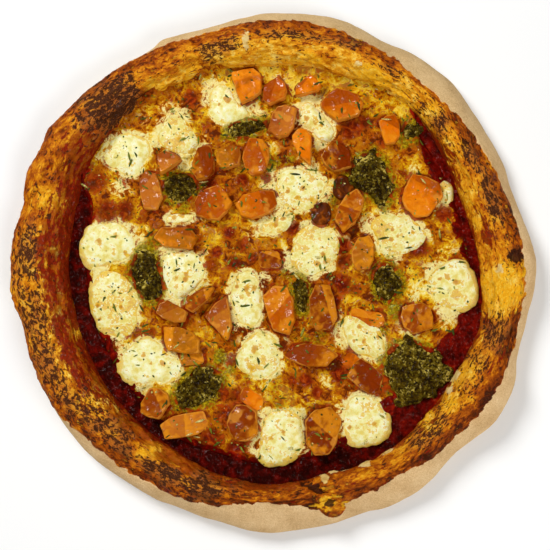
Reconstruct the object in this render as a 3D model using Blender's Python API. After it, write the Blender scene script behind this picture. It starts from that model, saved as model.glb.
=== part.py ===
"""Margherita pizza: a puffed, browned rim round tomato sauce, melted cheese, mozzarella, tomato and pesto.

Lengths are in millimetres and become metres where a mesh is made. The origin is on the table under the
middle of the pizza, +Z is up and +Y is the far side. Angles are in degrees, counter-clockwise from +X.
"""

import math
import random

import bmesh
import bpy
import numpy as np
from mathutils import Matrix, Vector
from mathutils.bvhtree import BVHTree

MM = 0.001

# Crust. The outer and foot radii and the crest heights are evenly spaced round the rim, from +X.
OUTER_RADII = (149.5, 146, 146.5, 148.5, 149.5, 149, 148.5, 148, 149, 151, 153.5, 151,
               150.5, 149, 147, 147, 145.5, 147, 148.5, 148, 150.5, 149.5, 151.5, 148)
FOOT_RADII = (119, 115, 116.5, 120.5, 120, 119.5, 118.5, 119.5, 120.5, 122.5, 122, 118.5,
              118, 115, 115.5, 115.5, 116.5, 121, 122.5, 121.5, 123.5, 122, 121, 122)
CREST_HEIGHTS = (23, 24, 22.5, 24, 22, 24.5, 23.5, 25, 24, 23, 20.5, 22)
CREST_SHARES = (0.52, 0.45, 0.42, 0.45, 0.52, 0.60, 0.64, 0.58, 0.42, 0.34, 0.38, 0.46)
# How the flank falls outside the crest: under 1 it bulges, over 1 it is a flatter skirt.
FLANK_POWERS = (1.0, 1.25, 1.2, 0.95, 0.8, 0.75, 0.72, 0.78, 1.0, 1.6, 1.3, 1.0)
FLOOR_TOP = 4.5
WIDEST_HEIGHT = 8.5
UNDER_CURL = 9.0
INNER_END, OUTER_END = 0.42, 0.84
INNER_POWER = 0.82
LUMP_SIZES = (38.0, 17.0)
LUMP_HEIGHTS = (2.6, 1.3)
LUMP_SEED = 11
# Big bubbles of the rim: angle, share of the section, spread and height.
BUBBLES = ((355, 0.34, 15, 2.6), (284, 0.66, 7, 2.4), (20, 0.44, 11, 1.6), (62, 0.36, 12, 1.8),
           (97, 0.36, 9, 2.0), (115, 0.66, 8, 2.2), (136, 0.50, 13, 1.8), (158, 0.56, 9, 1.6),
           (186, 0.48, 14, 1.6), (214, 0.44, 12, 2.0), (247, 0.42, 15, 2.2), (312, 0.40, 12, 1.6),
           (333, 0.56, 9, 1.8))
CRUST_STEPS = 90
SECTION_STEPS = 19
SAUCE_STEPS = 60
FLOOR_RINGS = (0.45, 0.9)

# Sauce and melted cheese. The cheese's radii are evenly spaced, from +X.
GAP = 0.3
SAUCE_THICKNESS = 1.3
SAUCE_INSET = 0.6
CHEESE_THICKNESS = 1.9
CHEESE_EDGE_THICKNESS = 0.8
CHEESE_EDGE_WIDTH = 7.0
CHEESE_RADII = (114, 112, 113, 114, 115, 115, 116, 116, 117, 117, 114, 111,
                108, 107, 106, 107, 111, 110, 112, 111, 111, 109, 110, 114)
CHEESE_STEPS, CHEESE_RINGS = 64, 14
CHEESE_RELIEF = 0.45
CHEESE_RELIEF_SIZE = 13.0
# Browned blisters in the cheese: x, y, spread and height.
BLISTERS = ((-22, 20, 8, 1.5), (-28, 10, 8, 1.1), (9, 21, 7, 1.3), (16, -64, 11, 1.3), (42, 76, 6, 2.4),
            (43, 45, 6, 2.0), (33, -4, 8, 1.6), (86, 10, 10, 2.0), (-94, 34, 10, 1.0), (-74, -37, 9, 1.0),
            (73, 56, 6, 1.2), (108, 8, 7, 1.0), (98, -28, 8, 0.9), (-58, 92, 8, 1.0), (-52, 36, 6, 1.2),
            (-24, -96, 9, 1.2), (-22, -70, 7, 1.0), (56, 70, 8, 1.3))

# Toppings: x, y, length, width, turn of the length, then the sides of a tomato chunk.
TOMATOES = ((-12, 107, 23, 17, 100, 4), (3, 102, 17, 14, 20, 4), (8, 85, 20, 16, 80, 4),
            (24, 105, 17, 15, 30, 3), (43, 93, 26, 21, 0, 5), (20, 71, 25, 14, 95, 3),
            (70, 78, 19, 12, 100, 4), (-7, 63, 26, 17, 85, 5), (-38, 60, 27, 13, 78, 5),
            (-24, 64, 18, 14, 20, 4), (-60, 63, 18, 14, -48, 3), (-69, 46, 29, 13, -78, 4),
            (-32, 37, 25, 21, 42, 5), (-7, 36, 25, 16, 10, 4), (-54, 17, 27, 14, -4, 4),
            (47, 32, 28, 14, 68, 5), (87, 38, 26, 22, 60, 4), (54, 7, 24, 14, 82, 5),
            (-56, -26, 20, 11, -24, 4), (-41, -19, 26, 9, 36, 4), (-28, -29, 25, 19, 118, 3),
            (-50, -42, 24, 15, -10, 4), (7, -25, 32, 18, 104, 4), (31, -24, 28, 17, 92, 4),
            (24, -51, 35, 14, -5, 5), (55, -63, 22, 15, -45, 4), (84, -30, 20, 19, 15, 4),
            (-65, -78, 18, 16, 60, 4), (-48, -90, 29, 15, 14, 4), (-15, -89, 25, 18, -72, 5),
            (30, -94, 28, 20, 86, 4), (40, 62, 19, 17, 0, 5))
PESTO = ((-53, 47, 23, 16, 0), (-71, -4, 35, 16, -80), (58, 49, 32, 26, -60), (-40, -69, 32, 19, 32),
         (81, -60, 36, 32, 15), (67, -10, 20, 15, 92), (17, -18, 22, 14, 90), (-13, 81, 26, 9, 8))
MOZZARELLA = ((-21, 95, 36, 26, -36), (-84, 68, 29, 27, 20), (-53, 75, 31, 23, -50), (-95, 14, 34, 27, 0),
              (-52, -4, 31, 29, 0), (-89, -20, 40, 31, -70), (-68, -55, 38, 29, -20), (-12, -19, 32, 24, 88),
              (-5, -51, 28, 27, 0), (6, -96, 33, 31, 60), (53, -87, 31, 28, 90), (54, -42, 34, 19, -50),
              (104, -12, 31, 26, 90), (72, 17, 36, 25, 12), (26, 9, 31, 28, 80), (18, 46, 31, 29, 0),
              (28, 84, 31, 23, -75))
# Pieces too small to be nodes, fused to the cheese: the same values, then tomato or mozzarella.
SMALL_PIECES = ((1, 4, 12, 10, 0, 4), (-44, -52, 14, 9, 5, 4), (-10, -75, 14, 9, -30, 4),
                (48, -56, 16, 10, -45, 4), (56, -30, 19, 10, -8, 4), (30, 30, 12, 11, 80, 4),
                (5, 24, 20, 11, 15, 0), (100, 40, 15, 9, 90, 0), (-52, 29, 19, 6, 4, 0),
                (82, 77, 12, 9, 70, 0))
TOMATO_HEIGHTS = (4.6, 6.6)
TOMATO_SLOPE = 0.22
MOZZARELLA_HEIGHT = 3.3
PESTO_HEIGHT = 4.2
PESTO_LUMP_SIZE, PESTO_LUMP_HEIGHT = 6.0, 0.9
SMALL_HEIGHT = 2.6
CORNER_POWER = 9.0
# Sections from the middle to the foot: share of the outline, share of the height.
TOMATO_SECTION = ((0.80, 1.0), (0.94, 0.84), (1.0, 0.45), (0.97, 0.0))
MOZZARELLA_SECTION = ((0.55, 0.94), (0.84, 0.68), (0.97, 0.32), (0.99, 0.0))
PESTO_SECTION = ((0.30, 0.95), (0.60, 0.80), (0.85, 0.55), (1.0, 0.25), (0.97, 0.0))
TOMATO_POINTS, MOZZARELLA_POINTS, PESTO_POINTS = 10, 16, 16
OUTLINE_STEPS = 180
CLEARANCE = 0.8

# Dried herb flakes, fused to the cheese and to each mozzarella slice.
HERB_LENGTH, HERB_WIDTH, HERB_THICKNESS, HERB_SHOWING = 4.0, 1.2, 1.0, 0.3
HERBS_ON_CHEESE, HERBS_ON_MOZZARELLA = 30, 2
HERB_PLACES = (3.2, 4.6)
HERB_SEED = 5

COLOURS = {
    "crust": ((0.56, 0.27, 0.06), 0.75),
    "sauce": ((0.22, 0.015, 0.006), 0.25),
    "cheese": ((0.80, 0.42, 0.05), 0.35),
    "mozzarella": ((0.90, 0.82, 0.58), 0.4),
    "tomato": ((0.62, 0.17, 0.025), 0.3),
    "pesto": ((0.07, 0.075, 0.012), 0.45),
}


# Numbers and noise

def angle_of(points):
    return np.degrees(np.arctan2(points[..., 1], points[..., 0]))


def around(values, degrees):
    """Smooth closed curve through values that are evenly spaced round the circle, read at these angles."""
    values = np.asarray(values, float)
    count = len(values)
    place = np.asarray(degrees, float) / 360.0 * count
    first = np.floor(place).astype(int)
    t = place - first
    a, b, c, d = (values[(first + k) % count] for k in (-1, 0, 1, 2))
    return b + 0.5 * t * (c - a + t * (2 * a - 5 * b + 4 * c - d + t * (3 * (b - c) + d - a)))


def corner_values(ix, iy, iz, seed):
    """A fixed number from -1 to 1 for each whole-numbered point of space."""
    mask = np.int64(0xFFFFFFFF)
    h = (ix * 374761393 + iy * 668265263 + iz * 1440662683 + seed * 1274126177) & mask
    h = ((h ^ (h >> 13)) * 1103515245) & mask
    h = ((h ^ (h >> 15)) * 668265263) & mask
    return (h ^ (h >> 16)) / float(0x7FFFFFFF) - 1.0


def noise(points, size, seed):
    """Smooth noise from -1 to 1 whose lumps are about this many millimetres across."""
    scaled = np.asarray(points, float) / size
    whole = np.floor(scaled).astype(np.int64)
    part = scaled - whole
    part = part * part * part * (part * (part * 6 - 15) + 10)
    total = 0.0
    for dx in (0, 1):
        for dy in (0, 1):
            for dz in (0, 1):
                near = np.where([dx, dy, dz], part, 1 - part)
                value = corner_values(whole[..., 0] + dx, whole[..., 1] + dy, whole[..., 2] + dz, seed)
                total = total + near[..., 0] * near[..., 1] * near[..., 2] * value
    return total


# Crust

def rim_section(degrees, share):
    """Radius and height of the rim's section, from share 0 at the inner foot to 1 at the flat underside."""
    foot = around(FOOT_RADII, degrees)
    outer = around(OUTER_RADII, degrees)
    height = around(CREST_HEIGHTS, degrees)
    crest = foot + around(CREST_SHARES, degrees) * (outer - foot)
    flank = around(FLANK_POWERS, degrees)
    quarter = math.pi / 2
    inner = np.clip(share / INNER_END, 0, 1) * quarter
    outward = np.clip((share - INNER_END) / (OUTER_END - INNER_END), 0, 1) * quarter
    under = np.clip((share - OUTER_END) / (1 - OUTER_END), 0, 1) * quarter
    radius = np.where(share < INNER_END, crest - (crest - foot) * np.cos(inner) ** INNER_POWER,
                      crest + (outer - crest) * np.sin(outward) ** flank)
    level = np.where(share < INNER_END, FLOOR_TOP + (height - FLOOR_TOP) * np.sin(inner) ** INNER_POWER,
                     WIDEST_HEIGHT + (height - WIDEST_HEIGHT) * np.cos(outward) ** flank)
    radius = radius - UNDER_CURL * (1 - np.cos(under))
    return radius, np.where(share > OUTER_END, WIDEST_HEIGHT * (1 - np.sin(under)), level)


def rim_points(degrees, share):
    """Points of the rim with its lumps and bubbles, pushed out along the section's normal."""
    degrees, share = np.broadcast_arrays(np.asarray(degrees, float), np.asarray(share, float))
    radius, level = rim_section(degrees, share)
    step = 0.004
    ahead, back = rim_section(degrees, share + step), rim_section(degrees, share - step)
    along = np.stack([ahead[0] - back[0], ahead[1] - back[1]], -1)
    along /= np.maximum(np.linalg.norm(along, axis=-1, keepdims=True), 1e-9)
    angle = np.radians(degrees)
    base = np.stack([radius * np.cos(angle), radius * np.sin(angle), level], -1)
    swell = sum(height * noise(base, size, LUMP_SEED + k)
                for k, (size, height) in enumerate(zip(LUMP_SIZES, LUMP_HEIGHTS)))
    for bubble_angle, bubble_share, spread, height in BUBBLES:
        r, z = rim_section(np.float64(bubble_angle), np.float64(bubble_share))
        turn = math.radians(bubble_angle)
        middle = np.array([r * math.cos(turn), r * math.sin(turn), z])
        swell = swell + height * np.exp(-((np.linalg.norm(base - middle, axis=-1) / spread) ** 2) * 2)
    fade = np.clip(share / 0.12, 0, 1) * np.clip((1 - share) / 0.16, 0, 1)
    swell = swell * fade
    radius = radius - along[..., 1] * swell
    level = np.where(share > OUTER_END, level, level + along[..., 0] * swell)
    return np.stack([radius * np.cos(angle), radius * np.sin(angle), level], -1)


def rim_grid(steps, rows):
    """Rings of the rim from the inner foot to the edge of the underside."""
    degrees = np.arange(steps) * 360.0 / steps
    return [rim_points(degrees, share) for share in np.linspace(0, 1, rows)]


def table_middle():
    """Middle of the crust's box, which the origin is moved to."""
    points = np.concatenate(rim_grid(CRUST_STEPS, SECTION_STEPS))
    return (points[:, :2].min(axis=0) + points[:, :2].max(axis=0)) / 2


MIDDLE = table_middle()
BASE = (0, 0, 0)


# Meshes and materials

def make_material(name):
    colour, roughness = COLOURS[name]
    material = bpy.data.materials.new(name)
    material.use_nodes = True
    shader = material.node_tree.nodes["Principled BSDF"]
    shader.inputs["Base Color"].default_value = (*colour, 1)
    shader.inputs["Roughness"].default_value = roughness
    shader.inputs["Metallic"].default_value = 0.0
    return material


def to_metres(point):
    """A place in the script's millimetres as a place in metres from the middle of the crust's box."""
    return Vector(((point[0] - MIDDLE[0]) * MM, (point[1] - MIDDLE[1]) * MM, point[2] * MM))


def loft(name, rings, material, top=None, at=BASE):
    """Closed solid through rings of points, from its top to its flat underside, with an optional top point.

    The points are measured from the place where the object stands.
    """
    mesh = bpy.data.meshes.new(name)
    bm = bmesh.new()
    loops = [[bm.verts.new(Vector(point) * MM) for point in ring] for ring in rings]
    count = len(loops[0])
    if top is None:
        bm.faces.new(loops[0])
    else:
        tip = bm.verts.new(Vector(top) * MM)
        for k in range(count):
            bm.faces.new((tip, loops[0][k], loops[0][(k + 1) % count]))
    for upper, lower in zip(loops, loops[1:]):
        for k in range(count):
            after = (k + 1) % count
            bm.faces.new((upper[k], lower[k], lower[after], upper[after]))
    bm.faces.new(list(reversed(loops[-1])))
    bmesh.ops.recalc_face_normals(bm, faces=bm.faces)
    bm.to_mesh(mesh)
    bm.free()
    mesh.shade_smooth()
    mesh.set_sharp_from_angle(angle=math.radians(50))
    mesh.materials.append(material)
    made = bpy.data.objects.new(name, mesh)
    made.location = to_metres(at)
    bpy.context.scene.collection.objects.link(made)
    return made


def disc_rings(radii, shares, levels):
    """Level rings at shares of an outline given by its radii round the middle."""
    angles = np.arange(len(radii)) * 2 * math.pi / len(radii)
    flat = np.stack([radii * np.cos(angles), radii * np.sin(angles)], -1)
    return [np.column_stack([flat * share, np.full(len(radii), level)])
            for share, level in zip(shares, levels)]


def make_crust(material):
    floor = around(FOOT_RADII, np.arange(CRUST_STEPS) * 360 / CRUST_STEPS)
    rings = disc_rings(floor, FLOOR_RINGS, [FLOOR_TOP] * len(FLOOR_RINGS))
    rings = rings + rim_grid(CRUST_STEPS, SECTION_STEPS)
    return loft("crust", rings, material, top=(0, 0, FLOOR_TOP))


def make_sauce(material):
    """Thin pool of sauce from the middle to the foot of the rim."""
    bottom = FLOOR_TOP + GAP
    top = bottom + SAUCE_THICKNESS
    foot = around(FOOT_RADII, np.arange(SAUCE_STEPS) * 360 / SAUCE_STEPS) - SAUCE_INSET
    rings = disc_rings(foot, (0.97, 1.0, 0.985), (top, top - 0.5, bottom))
    return loft("tomato_sauce", rings, material)


# Outlines of the toppings

class Topping:
    """A piece on the cheese: its middle and the radii of its outline, evenly spaced round it from +X."""

    def __init__(self, x, y, length, width, turn, sides, seed):
        self.middle = np.array([x, y], float)
        angles = np.arange(OUTLINE_STEPS) * 2 * math.pi / OUTLINE_STEPS
        local = angles - math.radians(turn)
        across = np.stack([np.cos(local) / (length / 2), np.sin(local) / (width / 2)], -1)
        stretch = np.linalg.norm(across, axis=-1)
        draw = random.Random(seed)
        shape = facets(across / stretch[:, None], sides, draw) if sides else lobes(local, draw)
        self.radii = shape / stretch
        self.height = 0.0
        self.lean = draw.uniform(0, 360)

    def reach(self, points):
        """Distance of points from the middle as a share of the outline in their direction."""
        offset = np.asarray(points, float)[..., :2] - self.middle
        edge = around(self.radii, angle_of(offset))
        return np.linalg.norm(offset, axis=-1) / np.maximum(edge, 0.1)

    def distance(self, x, y):
        """How far a place is outside the outline, along its line to the middle."""
        reach = self.reach([(x, y)])[0]
        return math.dist(self.middle, (x, y)) * (1 - 1 / max(reach, 1))

    def outline(self, count):
        degrees = np.arange(count) * 360.0 / count
        narrow = np.array([self.radii[int(d / 360 * OUTLINE_STEPS) % OUTLINE_STEPS] for d in degrees])
        return np.stack([np.cos(np.radians(degrees)), np.sin(np.radians(degrees))], -1) * narrow[:, None]


def facets(direction, sides, draw):
    """Radius of a cut piece with this many straight sides and rounded corners."""
    total = 0.0
    for side in range(sides):
        normal = 2 * math.pi * (side + draw.uniform(-0.16, 0.16)) / sides
        distance = draw.uniform(0.80, 0.98) if sides > 3 else draw.uniform(0.58, 0.72)
        facing = direction[:, 0] * math.cos(normal) + direction[:, 1] * math.sin(normal)
        total = total + (np.maximum(facing, 0) / distance) ** CORNER_POWER
    return np.minimum(np.maximum(total, 1e-9) ** (-1 / CORNER_POWER), 1.25)


def lobes(local, draw):
    """Radius of a melted or spooned piece with a few soft lobes."""
    shape = np.ones_like(local)
    for waves, size in ((2, 0.05), (3, 0.07), (4, 0.045), (5, 0.035), (7, 0.02)):
        shape = shape + size * np.cos(waves * local + draw.uniform(0, 2 * math.pi))
    return shape


def wall_radii():
    """How far the rim's inner wall is from the middle, with its lumps, at evenly spaced angles."""
    degrees = np.arange(CRUST_STEPS) * 360 / CRUST_STEPS
    shares = np.linspace(0, 0.25, 8)[:, None]
    points = rim_points(degrees, shares)
    return np.hypot(points[..., 0], points[..., 1]).min(axis=0)


WALL_RADII = wall_radii()


def keep_clear(piece, others, clearance):
    """Pulls the outline in where it would come too near to the rim or to the pieces placed before it."""
    steps = np.linspace(0.02, 1.0, 120)
    angles = np.arange(OUTLINE_STEPS) * 2 * math.pi / OUTLINE_STEPS
    rays = np.stack([np.cos(angles), np.sin(angles)], -1)
    points = piece.middle + rays[:, None, :] * (piece.radii[:, None] * steps)[..., None]
    near = np.hypot(points[..., 0], points[..., 1]) > around(WALL_RADII, angle_of(points)) - clearance
    for other in others:
        if np.linalg.norm(other.middle - piece.middle) > piece.radii.max() + other.radii.max() + clearance:
            continue
        offset = points - other.middle
        near |= np.linalg.norm(offset, axis=-1) < around(other.radii, angle_of(offset)) + clearance
    first = near.argmax(axis=1)
    limit = np.where(near.any(axis=1), piece.radii * steps[first], np.inf)
    window = OUTLINE_STEPS // MOZZARELLA_POINTS // 2 + 1
    around_it = np.stack([np.roll(limit, k) for k in range(-window, window + 1)])
    piece.radii = np.minimum(piece.radii, around_it.min(axis=0))


def place_toppings():
    """Every topping with its outline kept clear of those before it, in the order that it lies on top."""
    placed = {"tomato": [], "pesto": [], "mozzarella": [], "small": []}
    before = []
    tables = (("tomato", TOMATOES), ("pesto", [(*row, 0) for row in PESTO]),
              ("mozzarella", [(*row, 0) for row in MOZZARELLA]), ("small", SMALL_PIECES))
    for kind, table in tables:
        for number, row in enumerate(table):
            piece = Topping(*row, seed=f"{kind}{number}")
            keep_clear(piece, before, CLEARANCE)
            placed[kind].append(piece)
            before.append(piece)
    return placed


# Cheese and what lies on it

def cheese_edge(degrees):
    return np.minimum(around(CHEESE_RADII, degrees), around(WALL_RADII, degrees) - CLEARANCE)


def cheese_top(points, toppings):
    """Height of the melted cheese, level under the toppings, with blisters and soft relief elsewhere."""
    points = np.asarray(points, float)
    flat = np.column_stack([points[:, :2], np.zeros(len(points))])
    relief = CHEESE_RELIEF * noise(flat, CHEESE_RELIEF_SIZE, 3)
    for x, y, spread, height in BLISTERS:
        relief += height * np.exp(-((np.hypot(flat[:, 0] - x, flat[:, 1] - y) / spread) ** 2) * 2)
    cover = np.zeros(len(flat))
    for piece in toppings:
        reach = piece.reach(flat)
        cover = np.maximum(cover, np.clip((1.35 - reach) / 0.3, 0, 1))
    inside = cheese_edge(angle_of(flat)) - np.hypot(flat[:, 0], flat[:, 1])
    edge = np.clip(1 - inside / CHEESE_EDGE_WIDTH, 0, 1) ** 2
    bottom = FLOOR_TOP + 2 * GAP + SAUCE_THICKNESS
    thickness = CHEESE_THICKNESS + relief * (1 - cover)
    return bottom + thickness * (1 - edge) + CHEESE_EDGE_THICKNESS * edge


def make_cheese(toppings, material):
    shares = (np.arange(CHEESE_RINGS) + 1) / CHEESE_RINGS
    edge = cheese_edge(np.arange(CHEESE_STEPS) * 360 / CHEESE_STEPS)
    rings = disc_rings(edge, shares, np.zeros(CHEESE_RINGS))
    for ring in rings:
        ring[:, 2] = cheese_top(ring, toppings)
    bottom = FLOOR_TOP + 2 * GAP + SAUCE_THICKNESS
    rings.append(disc_rings(edge, (0.99,), (bottom,))[0])
    top = (0, 0, cheese_top([(0, 0, 0)], toppings)[0])
    return loft("melted_cheese", rings, material, top=top)


def surface_of(made):
    bm = bmesh.new()
    bm.from_mesh(made.data)
    bm.transform(Matrix.Translation(made.location))
    tree = BVHTree.FromBMesh(bm)
    bm.free()
    return tree


def level_at(tree, x, y):
    """Height of a surface above this place, in millimetres, or None beside it."""
    hit = tree.ray_cast(to_metres((x, y, 100)), Vector((0, 0, -1)))[0]
    return hit.z / MM if hit else None


def resting_level(tree, piece):
    """The highest point of the surface under a piece."""
    found = []
    for share in (0.0, 0.3, 0.55, 0.8, 1.0):
        for x, y in piece.middle + piece.outline(24) * share:
            found.append(level_at(tree, x, y))
    return max(level for level in found if level is not None)


def make_topping(name, piece, height, section, count, level, material, sink=0.0):
    """A piece that lies on the cheese. Its top leans a little, as cut and melted pieces do."""
    outline = piece.outline(count)
    lean = np.array([math.cos(math.radians(piece.lean)), math.sin(math.radians(piece.lean))])
    widest = np.abs(outline).max()
    slope = TOMATO_SLOPE if section is TOMATO_SECTION else TOMATO_SLOPE / 3
    rings = []
    for share, rise in section:
        flat = outline * share
        tilt = 1 + slope * (flat @ lean) / widest
        lumps = noise(np.column_stack([flat + piece.middle, np.full(count, height)]), PESTO_LUMP_SIZE, 8)
        rough = PESTO_LUMP_HEIGHT * lumps if section is PESTO_SECTION else 0.0
        rings.append(np.column_stack([flat, (height + rough) * rise * tilt]))
    return loft(name, rings, material, top=(0, 0, height), at=(*piece.middle, level - sink))


def herb_flake(name, x, y, level, turn, material):
    """A dried herb flake: a long diamond, mostly sunk in what it lies on."""
    ring = [(along * HERB_LENGTH / 2, across * HERB_WIDTH / 2)
            for along, across in ((1, 0), (0.25, 1), (-1, 0), (-0.25, -1))]
    upper = [(u, v, HERB_THICKNESS * HERB_SHOWING) for u, v in ring]
    lower = [(u, v, HERB_THICKNESS * (HERB_SHOWING - 1)) for u, v in ring]
    made = loft(name, [upper, lower], material, at=(x, y, level))
    made.rotation_euler.z = math.radians(turn)
    return made


def fuse(target, pieces):
    """One Boolean union of the target with all these pieces, applied."""
    group = bpy.data.collections.new("fused")
    bpy.context.scene.collection.children.link(group)
    for piece in pieces:
        bpy.context.scene.collection.objects.unlink(piece)
        group.objects.link(piece)
    union = target.modifiers.new("fused", "BOOLEAN")
    union.operation = "UNION"
    union.solver = "EXACT"
    union.operand_type = "COLLECTION"
    union.collection = group
    bpy.context.view_layer.update()
    graph = bpy.context.evaluated_depsgraph_get()
    fused = bpy.data.meshes.new_from_object(target.evaluated_get(graph))
    target.modifiers.clear()
    target.data = fused
    fused.name = target.name
    for piece in pieces:
        bpy.data.objects.remove(piece)
    bpy.data.collections.remove(group)


def cheese_herbs(draw, pieces, tree, material):
    """Herb flakes on open cheese, clear of every topping."""
    flakes = []
    while len(flakes) < HERBS_ON_CHEESE:
        angle, share = draw.uniform(0, 360), math.sqrt(draw.random())
        radius = share * (cheese_edge(angle) - CHEESE_EDGE_WIDTH)
        x, y = radius * math.cos(math.radians(angle)), radius * math.sin(math.radians(angle))
        if min(piece.distance(x, y) for piece in pieces) < HERB_LENGTH / 2 + CLEARANCE:
            continue
        turn = draw.uniform(0, 180)
        flakes.append(herb_flake(f"flake{len(flakes)}", x, y, level_at(tree, x, y), turn, material))
    return flakes


def slice_herbs(draw, piece, tree, material):
    """Herb flakes on the middle of a mozzarella slice."""
    flakes = []
    for number in range(HERBS_ON_MOZZARELLA):
        spin = draw.uniform(-math.pi / 4, math.pi / 4)
        away = draw.uniform(*HERB_PLACES) * (1 if number else -1)
        x, y = piece.middle + np.array([math.cos(spin), math.sin(spin)]) * away
        if piece.reach([(x, y)])[0] < 0.75:
            level = level_at(tree, x, y)
            flakes.append(herb_flake(f"flake{number}", x, y, level, draw.uniform(0, 180), material))
    return flakes


def clear_scene():
    for old in list(bpy.data.objects):
        bpy.data.objects.remove(old)


def main():
    clear_scene()
    materials = {name: make_material(name) for name in COLOURS}
    make_crust(materials["crust"])
    make_sauce(materials["sauce"])
    placed = place_toppings()
    pieces = placed["tomato"] + placed["pesto"] + placed["mozzarella"]
    everything = pieces + placed["small"]
    cheese = make_cheese(everything, materials["cheese"])
    tree = surface_of(cheese)
    draw = random.Random(HERB_SEED)
    low, high = TOMATO_HEIGHTS
    for number, piece in enumerate(placed["tomato"], 1):
        make_topping(f"tomato_{number:02d}", piece, draw.uniform(low, high), TOMATO_SECTION, TOMATO_POINTS,
                     resting_level(tree, piece) + GAP, materials["tomato"])
    for number, piece in enumerate(placed["pesto"], 1):
        make_topping(f"pesto_{number}", piece, PESTO_HEIGHT, PESTO_SECTION, PESTO_POINTS,
                     resting_level(tree, piece) + GAP, materials["pesto"])
    for number, piece in enumerate(placed["mozzarella"], 1):
        made = make_topping(f"mozzarella_{number:02d}", piece, MOZZARELLA_HEIGHT, MOZZARELLA_SECTION,
                            MOZZARELLA_POINTS, resting_level(tree, piece) + GAP, materials["mozzarella"])
        flakes = slice_herbs(draw, piece, surface_of(made), materials["pesto"])
        if flakes:
            fuse(made, flakes)
    small = [make_topping(f"small{number}", piece, SMALL_HEIGHT + 1, MOZZARELLA_SECTION, TOMATO_POINTS,
                          resting_level(tree, piece), materials["tomato"], sink=1.0)
             for number, piece in enumerate(placed["small"])]
    fuse(cheese, small + cheese_herbs(draw, everything, tree, materials["pesto"]))


main()
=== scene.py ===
import itertools
import math
import random

import bpy
import numpy as np
from mathutils import Matrix, Vector


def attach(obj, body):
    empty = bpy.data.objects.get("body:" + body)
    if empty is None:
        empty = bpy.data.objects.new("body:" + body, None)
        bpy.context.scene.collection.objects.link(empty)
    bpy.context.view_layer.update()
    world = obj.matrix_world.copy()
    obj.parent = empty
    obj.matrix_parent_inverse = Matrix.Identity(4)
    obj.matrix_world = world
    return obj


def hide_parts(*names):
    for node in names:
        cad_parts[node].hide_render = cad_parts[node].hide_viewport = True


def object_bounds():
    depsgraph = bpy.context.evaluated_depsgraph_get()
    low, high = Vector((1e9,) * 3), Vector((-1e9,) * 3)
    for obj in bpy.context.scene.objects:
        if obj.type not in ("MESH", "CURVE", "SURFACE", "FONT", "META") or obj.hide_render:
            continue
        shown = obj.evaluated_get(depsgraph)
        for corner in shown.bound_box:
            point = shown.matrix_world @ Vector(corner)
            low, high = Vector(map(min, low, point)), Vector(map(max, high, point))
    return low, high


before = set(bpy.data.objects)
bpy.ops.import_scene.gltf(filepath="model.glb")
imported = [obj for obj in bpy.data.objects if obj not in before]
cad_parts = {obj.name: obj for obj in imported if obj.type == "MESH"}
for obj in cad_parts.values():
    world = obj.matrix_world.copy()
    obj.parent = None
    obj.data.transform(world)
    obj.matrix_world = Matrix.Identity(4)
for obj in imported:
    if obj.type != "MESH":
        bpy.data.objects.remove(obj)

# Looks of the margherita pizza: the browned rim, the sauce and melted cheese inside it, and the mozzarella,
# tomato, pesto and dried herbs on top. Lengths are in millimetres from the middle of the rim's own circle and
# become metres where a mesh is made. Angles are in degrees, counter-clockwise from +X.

CAD_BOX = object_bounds()
MM = 0.001

# Form of the crust, as in the solid. Lists of radii and shares are evenly spaced round the rim, from +X.
OUTER_RADII = (149.5, 146, 146.5, 148.5, 149.5, 149, 148.5, 148, 149, 151, 153.5, 151,
               150.5, 149, 147, 147, 145.5, 147, 148.5, 148, 150.5, 149.5, 151.5, 148)
FOOT_RADII = (119, 115, 116.5, 120.5, 120, 119.5, 118.5, 119.5, 120.5, 122.5, 122, 118.5,
              118, 115, 115.5, 115.5, 116.5, 121, 122.5, 121.5, 123.5, 122, 121, 122)
CREST_HEIGHTS = (23, 24, 22.5, 24, 22, 24.5, 23.5, 25, 24, 23, 20.5, 22)
CREST_SHARES = (0.52, 0.45, 0.42, 0.45, 0.52, 0.60, 0.64, 0.58, 0.42, 0.34, 0.38, 0.46)
FLANK_POWERS = (1.0, 1.25, 1.2, 0.95, 0.8, 0.75, 0.72, 0.78, 1.0, 1.6, 1.3, 1.0)
FLOOR_TOP = 4.5
WIDEST_HEIGHT = 8.5
UNDER_CURL = 9.0
# Where the crest and the widest point lie along the section, which runs from 0 at the inner foot to 1.
INNER_END, OUTER_END = 0.42, 0.84
INNER_POWER = 0.82
LUMP_SIZES = (38.0, 17.0)
LUMP_HEIGHTS = (2.6, 1.3)
LUMP_SEED = 11
# Bubbles on the rim: angle, place along the section, spread and height.
BUBBLES = (
    (355, 0.34, 15, 2.6), (284, 0.66, 7, 2.4), (20, 0.44, 11, 1.6), (62, 0.36, 12, 1.8), (97, 0.36, 9, 2.0),
    (115, 0.66, 8, 2.2), (136, 0.50, 13, 1.8), (158, 0.56, 9, 1.6), (186, 0.48, 14, 1.6),
    (214, 0.44, 12, 2.0), (247, 0.42, 15, 2.2), (312, 0.40, 12, 1.6), (333, 0.56, 9, 1.8))
SOLID_STEPS, SOLID_ROWS = 90, 19
RIM_STEPS, RIM_ROWS = 880, 108
# Radius at which streaks of the crust's colours and relief are laid out round the rim.
FLOW_RADIUS = 135.0

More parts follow.
